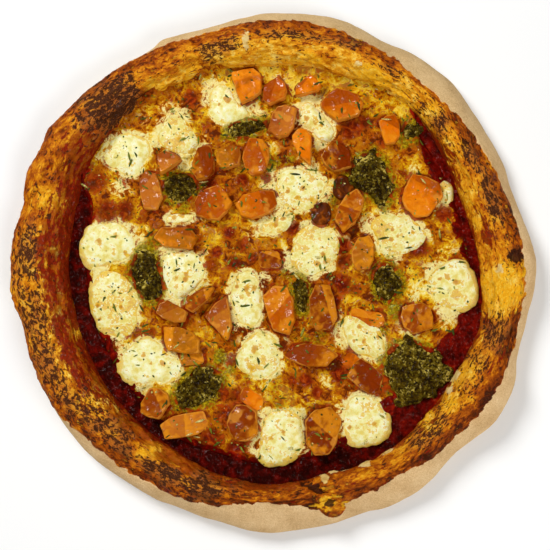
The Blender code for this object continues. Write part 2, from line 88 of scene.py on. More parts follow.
# Bake of the crust round the rim: where the pale flank starts, how golden the rim is inside and outside its
# crest, and how high sauce has stained it, as a place along the section.
FLANK_RADII = (142, 139.5, 136.5, 134, 137.5, 140.5, 141, 140, 144, 149, 153, 151,
               150.5, 149, 146, 140.5, 138.5, 137.5, 132, 139, 137.5, 141, 143.5, 143.5)
GOLD_INSIDE = (0.8, 0.65, 0.75, 0.85, 0.8, 0.85, 1.0, 0.8, 0.45, 0.35, 0.4, 0.5,
               0.8, 0.85, 0.75, 0.55, 0.45, 0.35, 0.35, 0.45, 0.7, 0.8, 0.85, 0.95)
GOLD_OUTSIDE = (0.45, 0.4, 0.45, 0.6, 0.5, 0.4, 0.45, 0.6, 0.5, 0.35, 0.5, 0.6,
                0.85, 0.8, 0.65, 0.4, 0.35, 0.3, 0.35, 0.35, 0.35, 0.35, 0.4, 0.5)
STAIN_RISE = (0.08, 0.14, 0.16, 0.06, 0.03, 0.04, 0.05, 0.06, 0.08, 0.12, 0.22, 0.30,
              0.30, 0.24, 0.18, 0.14, 0.12, 0.10, 0.08, 0.05, 0.08, 0.07, 0.06, 0.06)
# Charred bands: first angle, last angle, inner radius, outer radius, strength.
CHAR_BANDS = (
    (357, 368, 132, 142, 0.8), (8, 33, 126, 138, 0.85), (34, 48, 121, 131, 0.9), (51, 64, 127, 134, 0.6),
    (65, 93, 129, 139, 0.8), (98, 108, 122, 134, 0.9), (125, 142, 122, 148, 1.0), (170, 184, 132, 148, 0.9),
    (184, 219, 129, 146, 0.75), (213, 236, 120, 138, 0.8), (236, 260, 124, 138, 1.0),
    (255, 268, 120, 131, 0.5), (308, 325, 122, 134, 0.8), (325, 336, 116, 136, 0.7),
    (338, 349, 126, 139, 0.8))
# A golden bubble of the rim that hangs over the pale flank: x, y and radius.
OVERHANG_X, OVERHANG_Y, OVERHANG_RADIUS = 36, -133, 7
# How baked the underside is, and how far the skin's curls may stand above the solid.
UNDERSIDE_BAKE = 0.55
HIGHEST_CURL = 0.4
# Ovals on the rim, seen from above: x, y, length, width, turn of the length, strength.
YELLOW_OVALS = (
    (131, -14, 28, 24, 90, 0.85), (58, 106, 24, 11, -28, 1), (76, 92, 18, 10, -48, 1),
    (20, 116, 20, 11, 0, 1), (0, 117, 16, 12, 0, 0.9), (-22, 116, 16, 12, 10, 0.9),
    (-66, -104, 14, 10, 0, 0.7), (-95, -78, 18, 12, -50, 0.5), (88, -86, 12, 7, 45, 0.8),
    (-108, -35, 14, 12, 0, 0.8), (-125, 40, 14, 12, 0, 0.6), (108, -62, 14, 9, 60, 0.7),
    (100, -78, 12, 8, 50, 0.7), (-66, 106, 14, 10, 0, 0.8), (-45, 112, 12, 10, 0, 0.7),
    (92, 84, 10, 8, 40, 0.7), (112, 36, 14, 8, 100, 0.5), (117, 22, 12, 7, 110, 0.5),
    (36, -133, 15, 12, 0, 0.5))
DOUGH_OVALS = (
    (22, -117, 13, 5, -8, 1), (31, -120, 6, 5, 0, 0.9), (38, -114, 14, 4, 14, 0.9), (63, -105, 13, 5, 4, 1),
    (54, -110, 8, 5, 30, 0.9), (104, -63, 9, 6, 50, 0.8), (101, -71, 7, 4, 70, 0.6),
    (128, -5, 8, 5, 100, 0.7), (-12, 129, 14, 5, 95, 0.7), (-18, -117, 10, 3, -18, 0.5),
    (52, 114, 6, 4, 0, 0.6), (-58, 96, 8, 6, 0, 0.5))
# Cracks, carved into the crust and painted near-black as shade inside them.
CRACK_OVALS = ((26, -124, 16, 3.5, -22, 1), (30, -116, 6, 3, 60, 0.9), (-12, 112, 5, 3, 0, 0.5),
               (138, 3, 8, 8, 0, 1), (35, -132, 6, 4, 20, 0.9), (-113, -16, 12, 3, -50, 0.5),
               (112, 66, 6, 5, 0, 0.8), (-127, 30, 6, 4, 30, 0.7))
RED_OVALS = (
    (-124, -11, 34, 11, 96, 0.72), (-126, 15, 26, 11, 85, 0.72), (-103, 51, 26, 11, 60, 0.8),
    (-97, -80, 26, 10, 130, 0.75), (-125, 38, 18, 8, 75, 0.6), (62, -115, 12, 5, 25, 0.5),
    (124, -54, 12, 6, 65, 0.45), (-130, 10, 16, 6, 95, 0.9), (-131, -2, 12, 5, 80, 0.9),
    (-123, -8, 10, 5, 90, 0.8), (-125, 22, 8, 6, 60, 0.8), (-117, 32, 8, 5, 90, 0.9),
    (-124, -20, 14, 5, 110, 0.9), (-119, -36, 24, 9, 110, 1), (-111, -26, 9, 5, 120, 0.8),
    (-104, -66, 24, 8, 125, 0.95), (-112, -52, 22, 9, 115, 1), (-92, -76, 12, 5, 130, 0.7),
    (124, 12, 16, 3, 108, 1), (121, 22, 14, 3, 125, 0.8), (102, 62, 12, 5, 125, 0.7),
    (122, -38, 16, 4, 102, 0.9), (92, -84, 12, 4, 40, 0.9), (120, -45, 8, 3, 80, 0.7),
    (86, -92, 8, 4, 30, 0.7), (-10, -120, 24, 3, -10, 0.7), (-118, -88, 6, 4, 0, 0.4),
    (-48, -100, 22, 4, -38, 0.8))

# Sauce and melted cheese.
GAP = 0.3
SAUCE_THICKNESS = 1.3
CHEESE_BOTTOM = FLOOR_TOP + 2 * GAP + SAUCE_THICKNESS
CHEESE_THICKNESS = 1.9
CHEESE_EDGE_THICKNESS = 0.8
CHEESE_EDGE_WIDTH = 7.0
CHEESE_RADII = (114, 112, 113, 114, 115, 115, 116, 116, 117, 117, 114, 111,
                108, 107, 106, 107, 111, 110, 112, 111, 111, 109, 110, 114)
CHEESE_RELIEF = 0.45
CHEESE_RELIEF_SIZE = 13.0
CHEESE_STEPS, CHEESE_ROWS = 600, 150
# Blisters on the cheese: x, y, spread and height.
BLISTERS = (
    (-22, 20, 8, 1.5), (-28, 10, 8, 1.1), (9, 21, 7, 1.3), (16, -64, 11, 1.3), (42, 76, 6, 2.4),
    (43, 45, 6, 2.0), (33, -4, 8, 1.6), (86, 10, 10, 2.0), (-94, 34, 10, 1.0), (-74, -37, 9, 1.0),
    (73, 56, 6, 1.2), (108, 8, 7, 1.0), (98, -28, 8, 0.9), (-58, 92, 8, 1.0), (-52, 36, 6, 1.2),
    (-24, -96, 9, 1.2), (-22, -70, 7, 1.0), (56, 70, 8, 1.3))
# How far the sauce shows in from the cheese's edge, and how far the cheese climbs the rim.
SAUCE_SHOWING = (4, 4, 6, 2, 0, 0, 0, 0, 0, 0, 1, 2, 2, 3, 5, 5, 4, 3, 3, 4, 8, 10, 8, 2)
CLIMB = (0, 0, 0, 1, 4, 6, 6, 7, 6, 4, 2, 0, 0, 0, 0, 0, 0, 0, 0, 0, 0, 0, 0, 0)
# Patches of the cheese's colours: x, y, spread and strength. Some red ones are painted shade in dark gaps
# between toppings.
CREAM_PATCHES = (
    (-25, 95, 13, 1), (-12, 90, 10, 1), (-49, 62, 7, 1), (-73, -70, 8, 1), (23, 58, 7, 0.9),
    (80, -40, 8, 0.9), (84, 54, 6, 0.5), (100, 6, 6, 0.7), (84, -16, 8, 0.8), (102, -30, 7, 0.7),
    (-34, 103, 7, 0.9), (-88, 48, 7, 0.9), (-60, 95, 5, 0.7), (2, 70, 5, 0.6), (1, 48, 7, 1), (6, 30, 7, 1),
    (-52, 27, 6, 0.8), (25, 97, 8, 1), (33, 86, 8, 1), (30, 72, 6, 0.9), (12, 1, 6, 0.6), (62, 26, 7, 0.9),
    (80, 24, 7, 0.9), (74, 6, 7, 0.8), (98, 36, 6, 1), (94, -3, 7, 0.8), (91, -14, 6, 0.7),
    (50, -36, 7, 0.9), (60, -50, 7, 0.9), (46, -44, 5, 0.9), (76, -32, 5, 0.6), (72, -45, 5, 0.6),
    (-3, -68, 8, 0.6), (-15, -44, 5, 0.4), (-83, -49, 8, 1), (-54, -66, 6, 0.8), (-86, -38, 9, 0.8),
    (-100, -10, 7, 0.9), (-80, 12, 5, 0.7), (-4, -106, 5, 0.8), (33, -65, 4, 0.7), (25, -58, 4, 0.5),
    (-75, 90, 6, 0.5), (-18, -8, 5, 0.6), (56, -2, 5, 0.5), (64, -14, 5, 0.6), (5, 108, 8, 0.7),
    (-60, 45, 4, 0.4))
GOLD_PATCHES = (
    (20, 111, 13, 1), (2, 112, 10, 0.9), (-22, 110, 10, 1), (36, 108, 11, 1), (56, 100, 12, 1),
    (72, 88, 11, 1), (79, 72, 7, 0.9), (80, 55, 9, 1), (71, 44, 5, 0.7), (63, 87, 7, 0.9),
    (-12, 84, 8, 0.8), (78, -40, 8, 0.7), (66, -30, 7, 0.7), (100, 12, 8, 0.7), (84, -14, 9, 0.8),
    (-62, -8, 8, 0.6), (-73, -70, 8, 0.7), (8, -75, 8, 0.8), (-50, 62, 7, 0.8), (96, -40, 9, 0.7))
BARE_PATCHES = ((105, 1, 6, 1), (-42, 81, 6, 1), (12, 16, 6, 1), (-17, -60, 6, 1), (41, 9, 7, 1),
                (47, -28, 7, 1), (60, -34, 6, 0.8), (-87, -3, 7, 1), (82, 9, 8, 1), (-52, 31, 6, 1),
                (-40, 92, 5, 0.8))
# Reddened spots, and among them painted shade in the dark gaps between toppings.
RED_AND_SHADE_PATCHES = (
    (-103, 52, 9, 0.8), (-96, 62, 6, 0.6), (27, -82, 5, 1), (106, 2, 5, 0.7), (-95, 33, 9, 0.9),
    (-84, 34, 8, 0.9), (-76, 30, 6, 0.6), (-23, 20, 4, 1), (-30, 9, 4, 1), (-15, 12, 6, 0.8),
    (-9, 5, 5, 0.7), (-20, 3, 6, 0.8), (-33, 1, 6, 0.7), (-40, 9, 5, 0.6), (48, 79, 7, 1), (43, 86, 5, 0.8),
    (56, 84, 6, 0.7), (66, 72, 4, 0.6), (77, 53, 4, 0.8), (92, 70, 8, 1), (98, 56, 8, 1), (100, 29, 6, 0.9),
    (84, 11, 8, 1), (41, 11, 6, 1), (43, 2, 5, 1), (42, -10, 6, 1), (37, -21, 5, 1), (49, -14, 5, 0.8),
    (47, -48, 4, 1), (10, -22, 5, 0.8), (32, -83, 6, 1), (39, -62, 5, 1), (13, -65, 4, 0.8),
    (21, -65, 5, 0.9), (27, -72, 4, 0.9), (-26, -72, 5, 0.9), (-19, -72, 5, 0.8), (-25, -85, 7, 0.9),
    (-32, -98, 8, 1), (-19, -103, 7, 1), (-12, -66, 4, 0.5), (-78, -37, 6, 0.8), (-68, -38, 5, 0.8),
    (-37, -56, 4, 0.8), (-20, -53, 5, 0.9), (14, 22, 5, 0.9), (-94, -45, 6, 0.6), (-58, 103, 7, 0.5),
    (-45, 101, 7, 0.6), (-72, 103, 7, 0.5), (-38, 85, 5, 0.6), (-33, 47, 5, 0.9), (-16, 51, 5, 0.9),
    (-1, 51, 4, 0.8), (-28, 63, 3, 1), (16, -98, 5, 0.6), (43, 45, 6, 1), (72, -70, 7, 0.8),
    (63, -70, 5, 0.7), (8, -45, 4, 0.7), (-85, 52, 5, 0.5))
OIL_PATCHES = (
    (-26, 78, 5, 0.7), (-4, 84, 5, 0.7), (3, 61, 6, 0.7), (12, 62, 5, 0.6), (-62, 38, 5, 0.5),
    (-50, 35, 6, 0.7), (72, -26, 7, 0.8), (63, -35, 6, 0.7), (67, 2, 6, 0.5), (-28, -52, 6, 0.8),
    (-12, -60, 5, 0.7), (-22, -58, 5, 0.7), (45, 51, 6, 0.6), (38, 38, 6, 0.6), (-66, 16, 5, 0.9),
    (-70, -18, 6, 0.8), (52, 38, 5, 0.4), (-55, -78, 5, 0.6), (29, -41, 5, 0.6), (21, -42, 4, 0.6),
    (8, -78, 9, 0.5), (4, -70, 7, 0.5), (60, 68, 5, 0.6), (10, -4, 5, 0.6), (16, -2, 5, 0.5),
    (-45, 92, 5, 0.4), (78, -45, 6, 0.6), (66, -48, 5, 0.6), (84, -3, 5, 0.3), (-85, -50, 6, 0.3))

# Toppings: how each tomato chunk is coloured, in the order of the solids.
TOMATO_TONES = (
    "bright", "brown", "salmon", "bright", "brown", "bright", "bright", "brown", "rust", "tan", "salmon",
    "salmon", "brown", "brown", "tan", "rust", "bright", "tan", "tan", "rust", "salmon", "tan", "brown",
    "deep", "rust", "deep", "rust", "rust", "salmon", "deep", "deep", "deep")
TONES = {"deep": 0.02, "rust": 0.2, "brown": 0.42, "bright": 0.6, "tan": 0.8, "salmon": 0.97, "dark": 0.1}
# How golden each mozzarella slice is.
SLICE_GOLD = (0.15, 0.05, 0.6, 0.1, 0.15, 0.55, 0.0, 0.25, 0.35, 0.3, 0.2, 0.6, 0.45, 0.6, 0.4, 0.3, 0.35)
# Pieces too small to be nodes, sunk this deep into the cheese: x, y, length, width, turn, height and kind.
SUNK = 0.8
SMALL_PIECES = (
    (1, 4, 13, 11, 0, 2.3, "deep"), (-44, -52, 14, 9, 5, 2.4, "tan"), (-10, -75, 15, 9, -30, 2.4, "bright"),
    (48, -56, 16, 10, -45, 2.6, "bright"), (56, -30, 20, 10, -8, 2.2, "brown"),
    (30, 30, 13, 12, 80, 2.8, "dark"), (43, 45, 14, 12, 80, 2.8, "dark"),
    (5, 24, 20, 11, 15, 1.8, "mozzarella"), (100, 40, 15, 10, 90, 1.8, "mozzarella"),
    (-52, 29, 19, 7, 4, 1.8, "mozzarella"), (82, 77, 13, 11, 70, 1.8, "pesto"))
TOMATO_COUNT, MOZZARELLA_COUNT, PESTO_COUNT = 32, 17, 8
OUTLINE_STEPS = 180

# Scattered flakes: number on a square metre, shortest and longest in metres, width as a share, and seed.
SCATTER_SIZES = ("Per square metre", "Shortest", "Longest", "Width share", "Seed")
HERB_FLAKES = (12000.0, 0.0026, 0.0060, 0.24, 4)
HERB_DUST = (30000.0, 0.0007, 0.0016, 0.7, 9)
PESTO_LEAVES = (420000.0, 0.0012, 0.0030, 0.55, 2)
# How rough the wet film on every material is.
COAT_ROUGHNESS = 0.07

# Floor, light and camera, in metres and degrees. A light has a name, a place, a size and a power.
FLOOR_SIDE = 8.0
FLOOR_COLOURS = ((0.88, 0.88, 0.87, 1), (0.92, 0.92, 0.91, 1))
LIGHTS = (("key", (-0.55, 0.6, 0.95), 0.5, 12.0), ("fill", (0.7, -0.7, 0.9), 0.8, 9.5))
SKY_STRENGTH = 0.25
CAMERA_AZIMUTH, CAMERA_ELEVATION, CAMERA_DISTANCE = 40.0, 81.0, 0.620
CAMERA_TARGET = Vector((0.0033, -0.0037, 0.0))
CAMERA_LENS = 69.9


# Numbers and noise

def angle_of(points):
    return np.degrees(np.arctan2(points[..., 1], points[..., 0]))


def raised(flat, level=0.0):
    """The same places, seen from above, at this height."""
    level = np.broadcast_to(np.asarray(level, float), flat.shape[:-1])
    return np.concatenate([flat[..., :2], level[..., None]], -1)


def polar(radius, degrees, level):
    """Points at this radius, angle and height."""
    angle = np.radians(degrees)
    x, y, z = np.broadcast_arrays(radius * np.cos(angle), radius * np.sin(angle), level)
    return np.stack([x, y, z], -1)


def around(values, degrees):
    """Smooth closed curve through values that are evenly spaced round the circle, read at these angles."""
    values = np.asarray(values, float)
    count = len(values)
    place = np.asarray(degrees, float) / 360.0 * count
    first = np.floor(place).astype(int)
    t = place - first
    a, b, c, d = (values[(first + k) % count] for k in (-1, 0, 1, 2))
    return b + 0.5 * t * (c - a + t * (2 * a - 5 * b + 4 * c - d + t * (3 * (b - c) + d - a)))


def smooth_step(value, low, high):
    t = np.clip((value - low) / (high - low), 0, 1)
    return t * t * (3 - 2 * t)


def towards(degrees, middle, low, high):
    """1 at angles near this one and 0 far from it, between these cosines of the angle to it."""
    return smooth_step(np.cos(np.radians(degrees - middle)), low, high)


def corner_values(cell, seed):
    """A fixed number from -1 to 1 for each whole-numbered point of space."""
    mask = np.int64(0xFFFFFFFF)
    x, y, z = np.moveaxis(cell, -1, 0)
    h = (x * 374761393 + y * 668265263 + z * 1440662683 + seed * 1274126177) & mask
    h = ((h ^ (h >> 13)) * 1103515245) & mask
    h = ((h ^ (h >> 15)) * 668265263) & mask
    return (h ^ (h >> 16)) / float(0x7FFFFFFF) - 1.0


def noise(points, size, seed):
    """Smooth noise from -1 to 1 whose lumps are about this many millimetres across."""
    scaled = np.asarray(points, float) / size
    whole = np.floor(scaled).astype(np.int64)
    part = scaled - whole
    part = part * part * part * (part * (part * 6 - 15) + 10)
    total = 0.0
    for corner in itertools.product((0, 1), repeat=3):
        near = np.where(corner, part, 1 - part)
        total = total + near[..., 0] * near[..., 1] * near[..., 2] * corner_values(whole + corner, seed)
    return total


def layered(points, size, seed, layers=3):
    """Noise with finer noise on it, each layer half as large and half as strong."""
    return sum(noise(points, size / 2 ** k, seed + k) / 2 ** k for k in range(layers))


def grains(points, size, seed):
    """How far points are from the middle of their grain, 0 to about 1, with grains of this size."""
    scaled = np.asarray(points, float) / size
    whole = np.floor(scaled).astype(np.int64)
    distance = np.full(scaled.shape[:-1], 9.0)
    for step in itertools.product((-1, 0, 1), repeat=3):
        cell = whole + step
        middle = np.stack([corner_values(cell, seed + k) for k in range(3)], -1) * 0.5 + 0.5
        distance = np.minimum(distance, np.linalg.norm(cell + middle - scaled, axis=-1))
    return distance


# Form of the rim

def rim_section(degrees, share):
    """Radius and height of the rim's section: share 0 at the inner foot, 1 at the underside."""
    foot = around(FOOT_RADII, degrees)
    outer = around(OUTER_RADII, degrees)
    height = around(CREST_HEIGHTS, degrees)
    crest = foot + around(CREST_SHARES, degrees) * (outer - foot)
    flank = around(FLANK_POWERS, degrees)
    quarter = math.pi / 2
    inner = np.clip(share / INNER_END, 0, 1) * quarter
    outward = np.clip((share - INNER_END) / (OUTER_END - INNER_END), 0, 1) * quarter
    under = np.clip((share - OUTER_END) / (1 - OUTER_END), 0, 1) * quarter
    radius = np.where(share < INNER_END, crest - (crest - foot) * np.cos(inner) ** INNER_POWER,
                      crest + (outer - crest) * np.sin(outward) ** flank)
    level = np.where(share < INNER_END, FLOOR_TOP + (height - FLOOR_TOP) * np.sin(inner) ** INNER_POWER,
                     WIDEST_HEIGHT + (height - WIDEST_HEIGHT) * np.cos(outward) ** flank)
    radius = radius - UNDER_CURL * (1 - np.cos(under))
    return radius, np.where(share > OUTER_END, WIDEST_HEIGHT * (1 - np.sin(under)), level)


def rim_points(degrees, share):
    """Points of the rim with its lumps and bubbles."""
    degrees, share = np.broadcast_arrays(np.asarray(degrees, float), np.asarray(share, float))
    radius, level = rim_section(degrees, share)
    step = 0.004
    ahead, back = rim_section(degrees, share + step), rim_section(degrees, share - step)
    along = np.stack([ahead[0] - back[0], ahead[1] - back[1]], -1)
    along /= np.maximum(np.linalg.norm(along, axis=-1, keepdims=True), 1e-9)
    base = polar(radius, degrees, level)
    swell = sum(height * noise(base, size, LUMP_SEED + k)
                for k, (size, height) in enumerate(zip(LUMP_SIZES, LUMP_HEIGHTS)))
    for bubble_angle, bubble_share, spread, height in BUBBLES:
        r, z = rim_section(np.float64(bubble_angle), np.float64(bubble_share))
        turn = math.radians(bubble_angle)
        middle = np.array([r * math.cos(turn), r * math.sin(turn), z])
        swell = swell + height * np.exp(-((np.linalg.norm(base - middle, axis=-1) / spread) ** 2) * 2)
    swell = swell * (np.clip(share / 0.12, 0, 1) * np.clip((1 - share) / 0.16, 0, 1))
    radius = radius - along[..., 1] * swell
    return polar(radius, degrees, np.where(share > OUTER_END, level, level + along[..., 0] * swell))


def solid_middle():
    """Middle of the solid crust's box, which the origin is moved to."""
    degrees = np.arange(SOLID_STEPS) * 360.0 / SOLID_STEPS
    points = rim_points(degrees, np.linspace(0, 1, SOLID_ROWS)[:, None]).reshape(-1, 3)
    return (points[:, :2].min(axis=0) + points[:, :2].max(axis=0)) / 2


MIDDLE = solid_middle()


def wall_radii():
    """How far the rim's inner wall is from the middle, with its lumps, at evenly spaced angles."""
    degrees = np.arange(SOLID_STEPS) * 360 / SOLID_STEPS
    points = rim_points(degrees, np.linspace(0, 0.25, 8)[:, None])
    return np.hypot(points[..., 0], points[..., 1]).min(axis=0)


WALL_RADII = wall_radii()


# Meshes

class Skin:
    """A closed surface: rings of points from a top pole to a bottom pole, with named values."""

    def __init__(self, rings, values=None):
        rows, columns = rings.shape[:2]
        self.points = self.with_poles(rings, 3)
        self.values = {name: self.with_poles(np.broadcast_to(value, (rows, columns))[..., None], 1)[:, 0]
                       for name, value in (values or {}).items()}
        place = np.arange(rows * columns).reshape(rows, columns)
        after = np.roll(place, -1, axis=1)
        self.quads = np.stack([place[:-1], place[1:], after[1:], after[:-1]], -1).reshape(-1, 4)
        top, bottom = rows * columns, rows * columns + 1
        upper = np.stack([np.full(columns, top), place[0], after[0]], -1)
        lower = np.stack([np.full(columns, bottom), after[-1], place[-1]], -1)
        self.triangles = np.concatenate([upper, lower])

    @staticmethod
    def with_poles(rings, width):
        poles = np.stack([rings[0].mean(axis=0), rings[-1].mean(axis=0)])
        return np.concatenate([rings.reshape(-1, width), poles])


def joined(skins):
    """Several skins as one."""
    whole = Skin(np.zeros((2, 3, 3)))
    starts = np.cumsum([0] + [len(skin.points) for skin in skins])
    whole.points = np.concatenate([skin.points for skin in skins])
    whole.quads = np.concatenate([skin.quads + start for skin, start in zip(skins, starts)])
    whole.triangles = np.concatenate([skin.triangles + start for skin, start in zip(skins, starts)])
    whole.values = {name: np.concatenate([skin.values[name] for skin in skins]) for name in skins[0].values}
    return whole


def closed_below(rings, below, values):
    """A skin of these rings and one more under them, which takes the last ring's values."""
    values = {name: np.concatenate([value, value[-1:]]) for name, value in values.items()}
    return Skin(np.concatenate([rings, below]), values)


def make_mesh(name, skin):
    mesh = bpy.data.meshes.new(name)
    points = (skin.points - (*MIDDLE, 0)) * MM
    corners = np.concatenate([skin.quads.ravel(), skin.triangles.ravel()]).astype(np.int32)
    sides = np.concatenate([np.full(len(skin.quads), 4), np.full(len(skin.triangles), 3)])
    mesh.vertices.add(len(points))
    mesh.vertices.foreach_set("co", points.astype(np.float32).ravel())
    mesh.loops.add(len(corners))
    mesh.loops.foreach_set("vertex_index", corners)
    mesh.polygons.add(len(sides))
    mesh.polygons.foreach_set("loop_start", np.concatenate([[0], np.cumsum(sides)[:-1]]).astype(np.int32))
    mesh.update(calc_edges=True)
    mesh.validate()
    mesh.shade_smooth()
    for value_name, value in skin.values.items():
        attribute = mesh.attributes.new(value_name, "FLOAT", "POINT")
        attribute.data.foreach_set("value", np.clip(value, 0, 1).astype(np.float32))
    return mesh


def put(name, data):
    """A new object in the scene."""
    thing = bpy.data.objects.new(name, data)
    bpy.context.scene.collection.objects.link(thing)
    return thing


def add_piece(name, mesh, material, nodes=()):
    """A finished piece that rides on the pizza's only body and stands for these solids."""
    mesh.materials.clear()
    mesh.materials.append(material)
    piece = put(name, mesh)
    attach(piece, "root")
    if nodes:
        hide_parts(*nodes)


def outward(rings):
    """The direction that each point of a grid of rings faces."""
    down = np.gradient(rings, axis=0)
    across = np.roll(rings, -1, axis=1) - np.roll(rings, 1, axis=1)
    facing = np.cross(down, across)
    return facing / np.maximum(np.linalg.norm(facing, axis=-1, keepdims=True), 1e-9)


def level_rings(radii, shares, levels):
    """Rings at shares of an outline given by its radii round the middle, at these heights."""
    angles = np.arange(len(radii)) * 2 * math.pi / len(radii)
    flat = np.stack([radii * np.cos(angles), radii * np.sin(angles)], -1)
    return raised(flat[None] * np.asarray(shares, float)[:, None, None], np.asarray(levels)[:, None])


# Materials

def rgb(red, green, blue):
    """A colour as the eye sees it, 0 to 255, as the linear values that a shader takes."""
    seen = np.array([red, green, blue]) / 255.0
    linear = np.where(seen <= 0.04045, seen / 12.92, ((seen + 0.055) / 1.055) ** 2.4)
    return (*linear, 1.0)


def feed(tree, socket, value):
    """Links an input to another node's socket, or sets it to a plain value."""
    if isinstance(value, bpy.types.NodeSocket):
        tree.links.new(value, socket)
    else:
        socket.default_value = value


def add_node(tree, kind, inputs=(), **settings):
    """The outputs of a new node with these settings, its inputs linked to sockets or set to values."""
    node = tree.nodes.new(kind)
    for setting, value in settings.items():
        setattr(node, setting, value)
    for socket, value in dict(inputs).items():
        feed(tree, node.inputs[socket], value)
    return node.outputs


class Finish:
    """A material under construction: noise in millimetres, masks from the mesh, and colours mixed by them."""

    def __init__(self, name, **sockets):
        self.material = bpy.data.materials.new(name)
        self.material.use_nodes = True
        self.tree = self.material.node_tree
        self.shader = self.tree.nodes["Principled BSDF"]
        self.place = self.node("ShaderNodeTexCoord")["Object"]
        for socket, value in sockets.items():
            self.shader.inputs[socket.replace("_", " ")].default_value = value

    def node(self, kind, inputs=(), **settings):
        return add_node(self.tree, kind, inputs, **settings)

    def math(self, operation, *values):
        return self.node("ShaderNodeMath", enumerate(values), operation=operation)[0]

    def blend(self, first, share, second):
        """This share of the first value with the rest of the second."""
        return self.math("MULTIPLY_ADD", first, share, self.math("MULTIPLY", second, 1 - share))

    def stretched(self, name, factors):
        """A place that the mesh gives at every point, drawn out by these factors."""
        given = self.node("ShaderNodeAttribute", attribute_name=name)["Vector"]
        return self.node("ShaderNodeVectorMath", {0: given, 1: factors}, operation="MULTIPLY")[0]

    def weighted(self, start, *parts):
        """A value with others added by weight, each of them centred on 0 unless another middle is given."""
        total = start
        for value, weight, *centre in parts:
            centre = centre[0] if centre else 0.5
            total = self.math("ADD", self.math("MULTIPLY_ADD", value, weight, -centre * weight), total)
        return total

    def noise(self, size, detail=3.0, roughness=0.6, distortion=0.0, place=None):
        """Noise of lumps about this many millimetres across, spread to the whole of 0 to 1."""
        inputs = {"Vector": place or self.place, "Scale": 1 / (size * MM), "Detail": detail,
                  "Roughness": roughness, "Distortion": distortion}
        return self.step(self.node("ShaderNodeTexNoise", inputs)["Fac"], 0.3, 0.7, smooth=False)

    def mask(self, name):
        return self.node("ShaderNodeAttribute", attribute_name=name)["Fac"]

    def step(self, value, low, high, smooth=True):
        inputs = enumerate((value, low, high, 0.0, 1.0))
        kind = "SMOOTHSTEP" if smooth else "LINEAR"
        return self.node("ShaderNodeMapRange", inputs, interpolation_type=kind)[0]

    def ragged(self, name, grain, amount, low=0.45, high=0.6):
        """The mesh's soft mask broken up by grain, with edges that are nearly sharp."""
        centred = self.math("SUBTRACT", grain, 0.5)
        pushed = self.math("MULTIPLY_ADD", centred, amount, self.mask(name))
        return self.step(pushed, low, high)

    def mix(self, factor, first, second):
        return self.node("ShaderNodeMix", {0: factor, 6: first, 7: second}, data_type="RGBA")[2]

    def over(self, colour, mask, strength, shade):
        """The colour with another over it, as strong as this where the mask is 1."""
        return self.mix(self.math("MULTIPLY", mask, strength), colour, shade)

    def ramp(self, factor, *stops):
        """Colours along a value. Each stop is a place from 0 to 1, and red, green and blue as seen."""
        node = self.tree.nodes.new("ShaderNodeValToRGB")
        self.tree.links.new(factor, node.inputs[0])
        elements = node.color_ramp.elements
        while len(elements) < len(stops):
            elements.new(0.5)
        for element, (place, *colour) in zip(elements, stops):
            element.position = place
            element.color = rgb(*colour)
        return node.outputs["Color"]

    def bump(self, height, depth, strength=1.0):
        """Fine relief of this many millimetres, on top of what the mesh has."""
        inputs = {"Strength": strength, "Distance": depth * MM, "Height": height}
        normal = self.node("ShaderNodeBump", inputs)["Normal"]
        for socket in ("Normal", "Coat Normal"):
            self.tree.links.new(normal, self.shader.inputs[socket])

    def glints(self, size, cover):
        """Small wet spots: this share of the surface, in patches of this many millimetres."""
        return self.step(self.noise(size, 3, 0.6), 1.0 - cover, 1.12 - cover)

    def finish(self, colour, roughness, wet=0.0):
        """The material, with a wet film as strong as this where it glistens."""
        for socket, value in (("Base Color", colour), ("Roughness", roughness), ("Coat Weight", wet)):
            feed(self.tree, self.shader.inputs[socket], value)
        self.shader.inputs["Coat Roughness"].default_value = COAT_ROUGHNESS
        return self.material


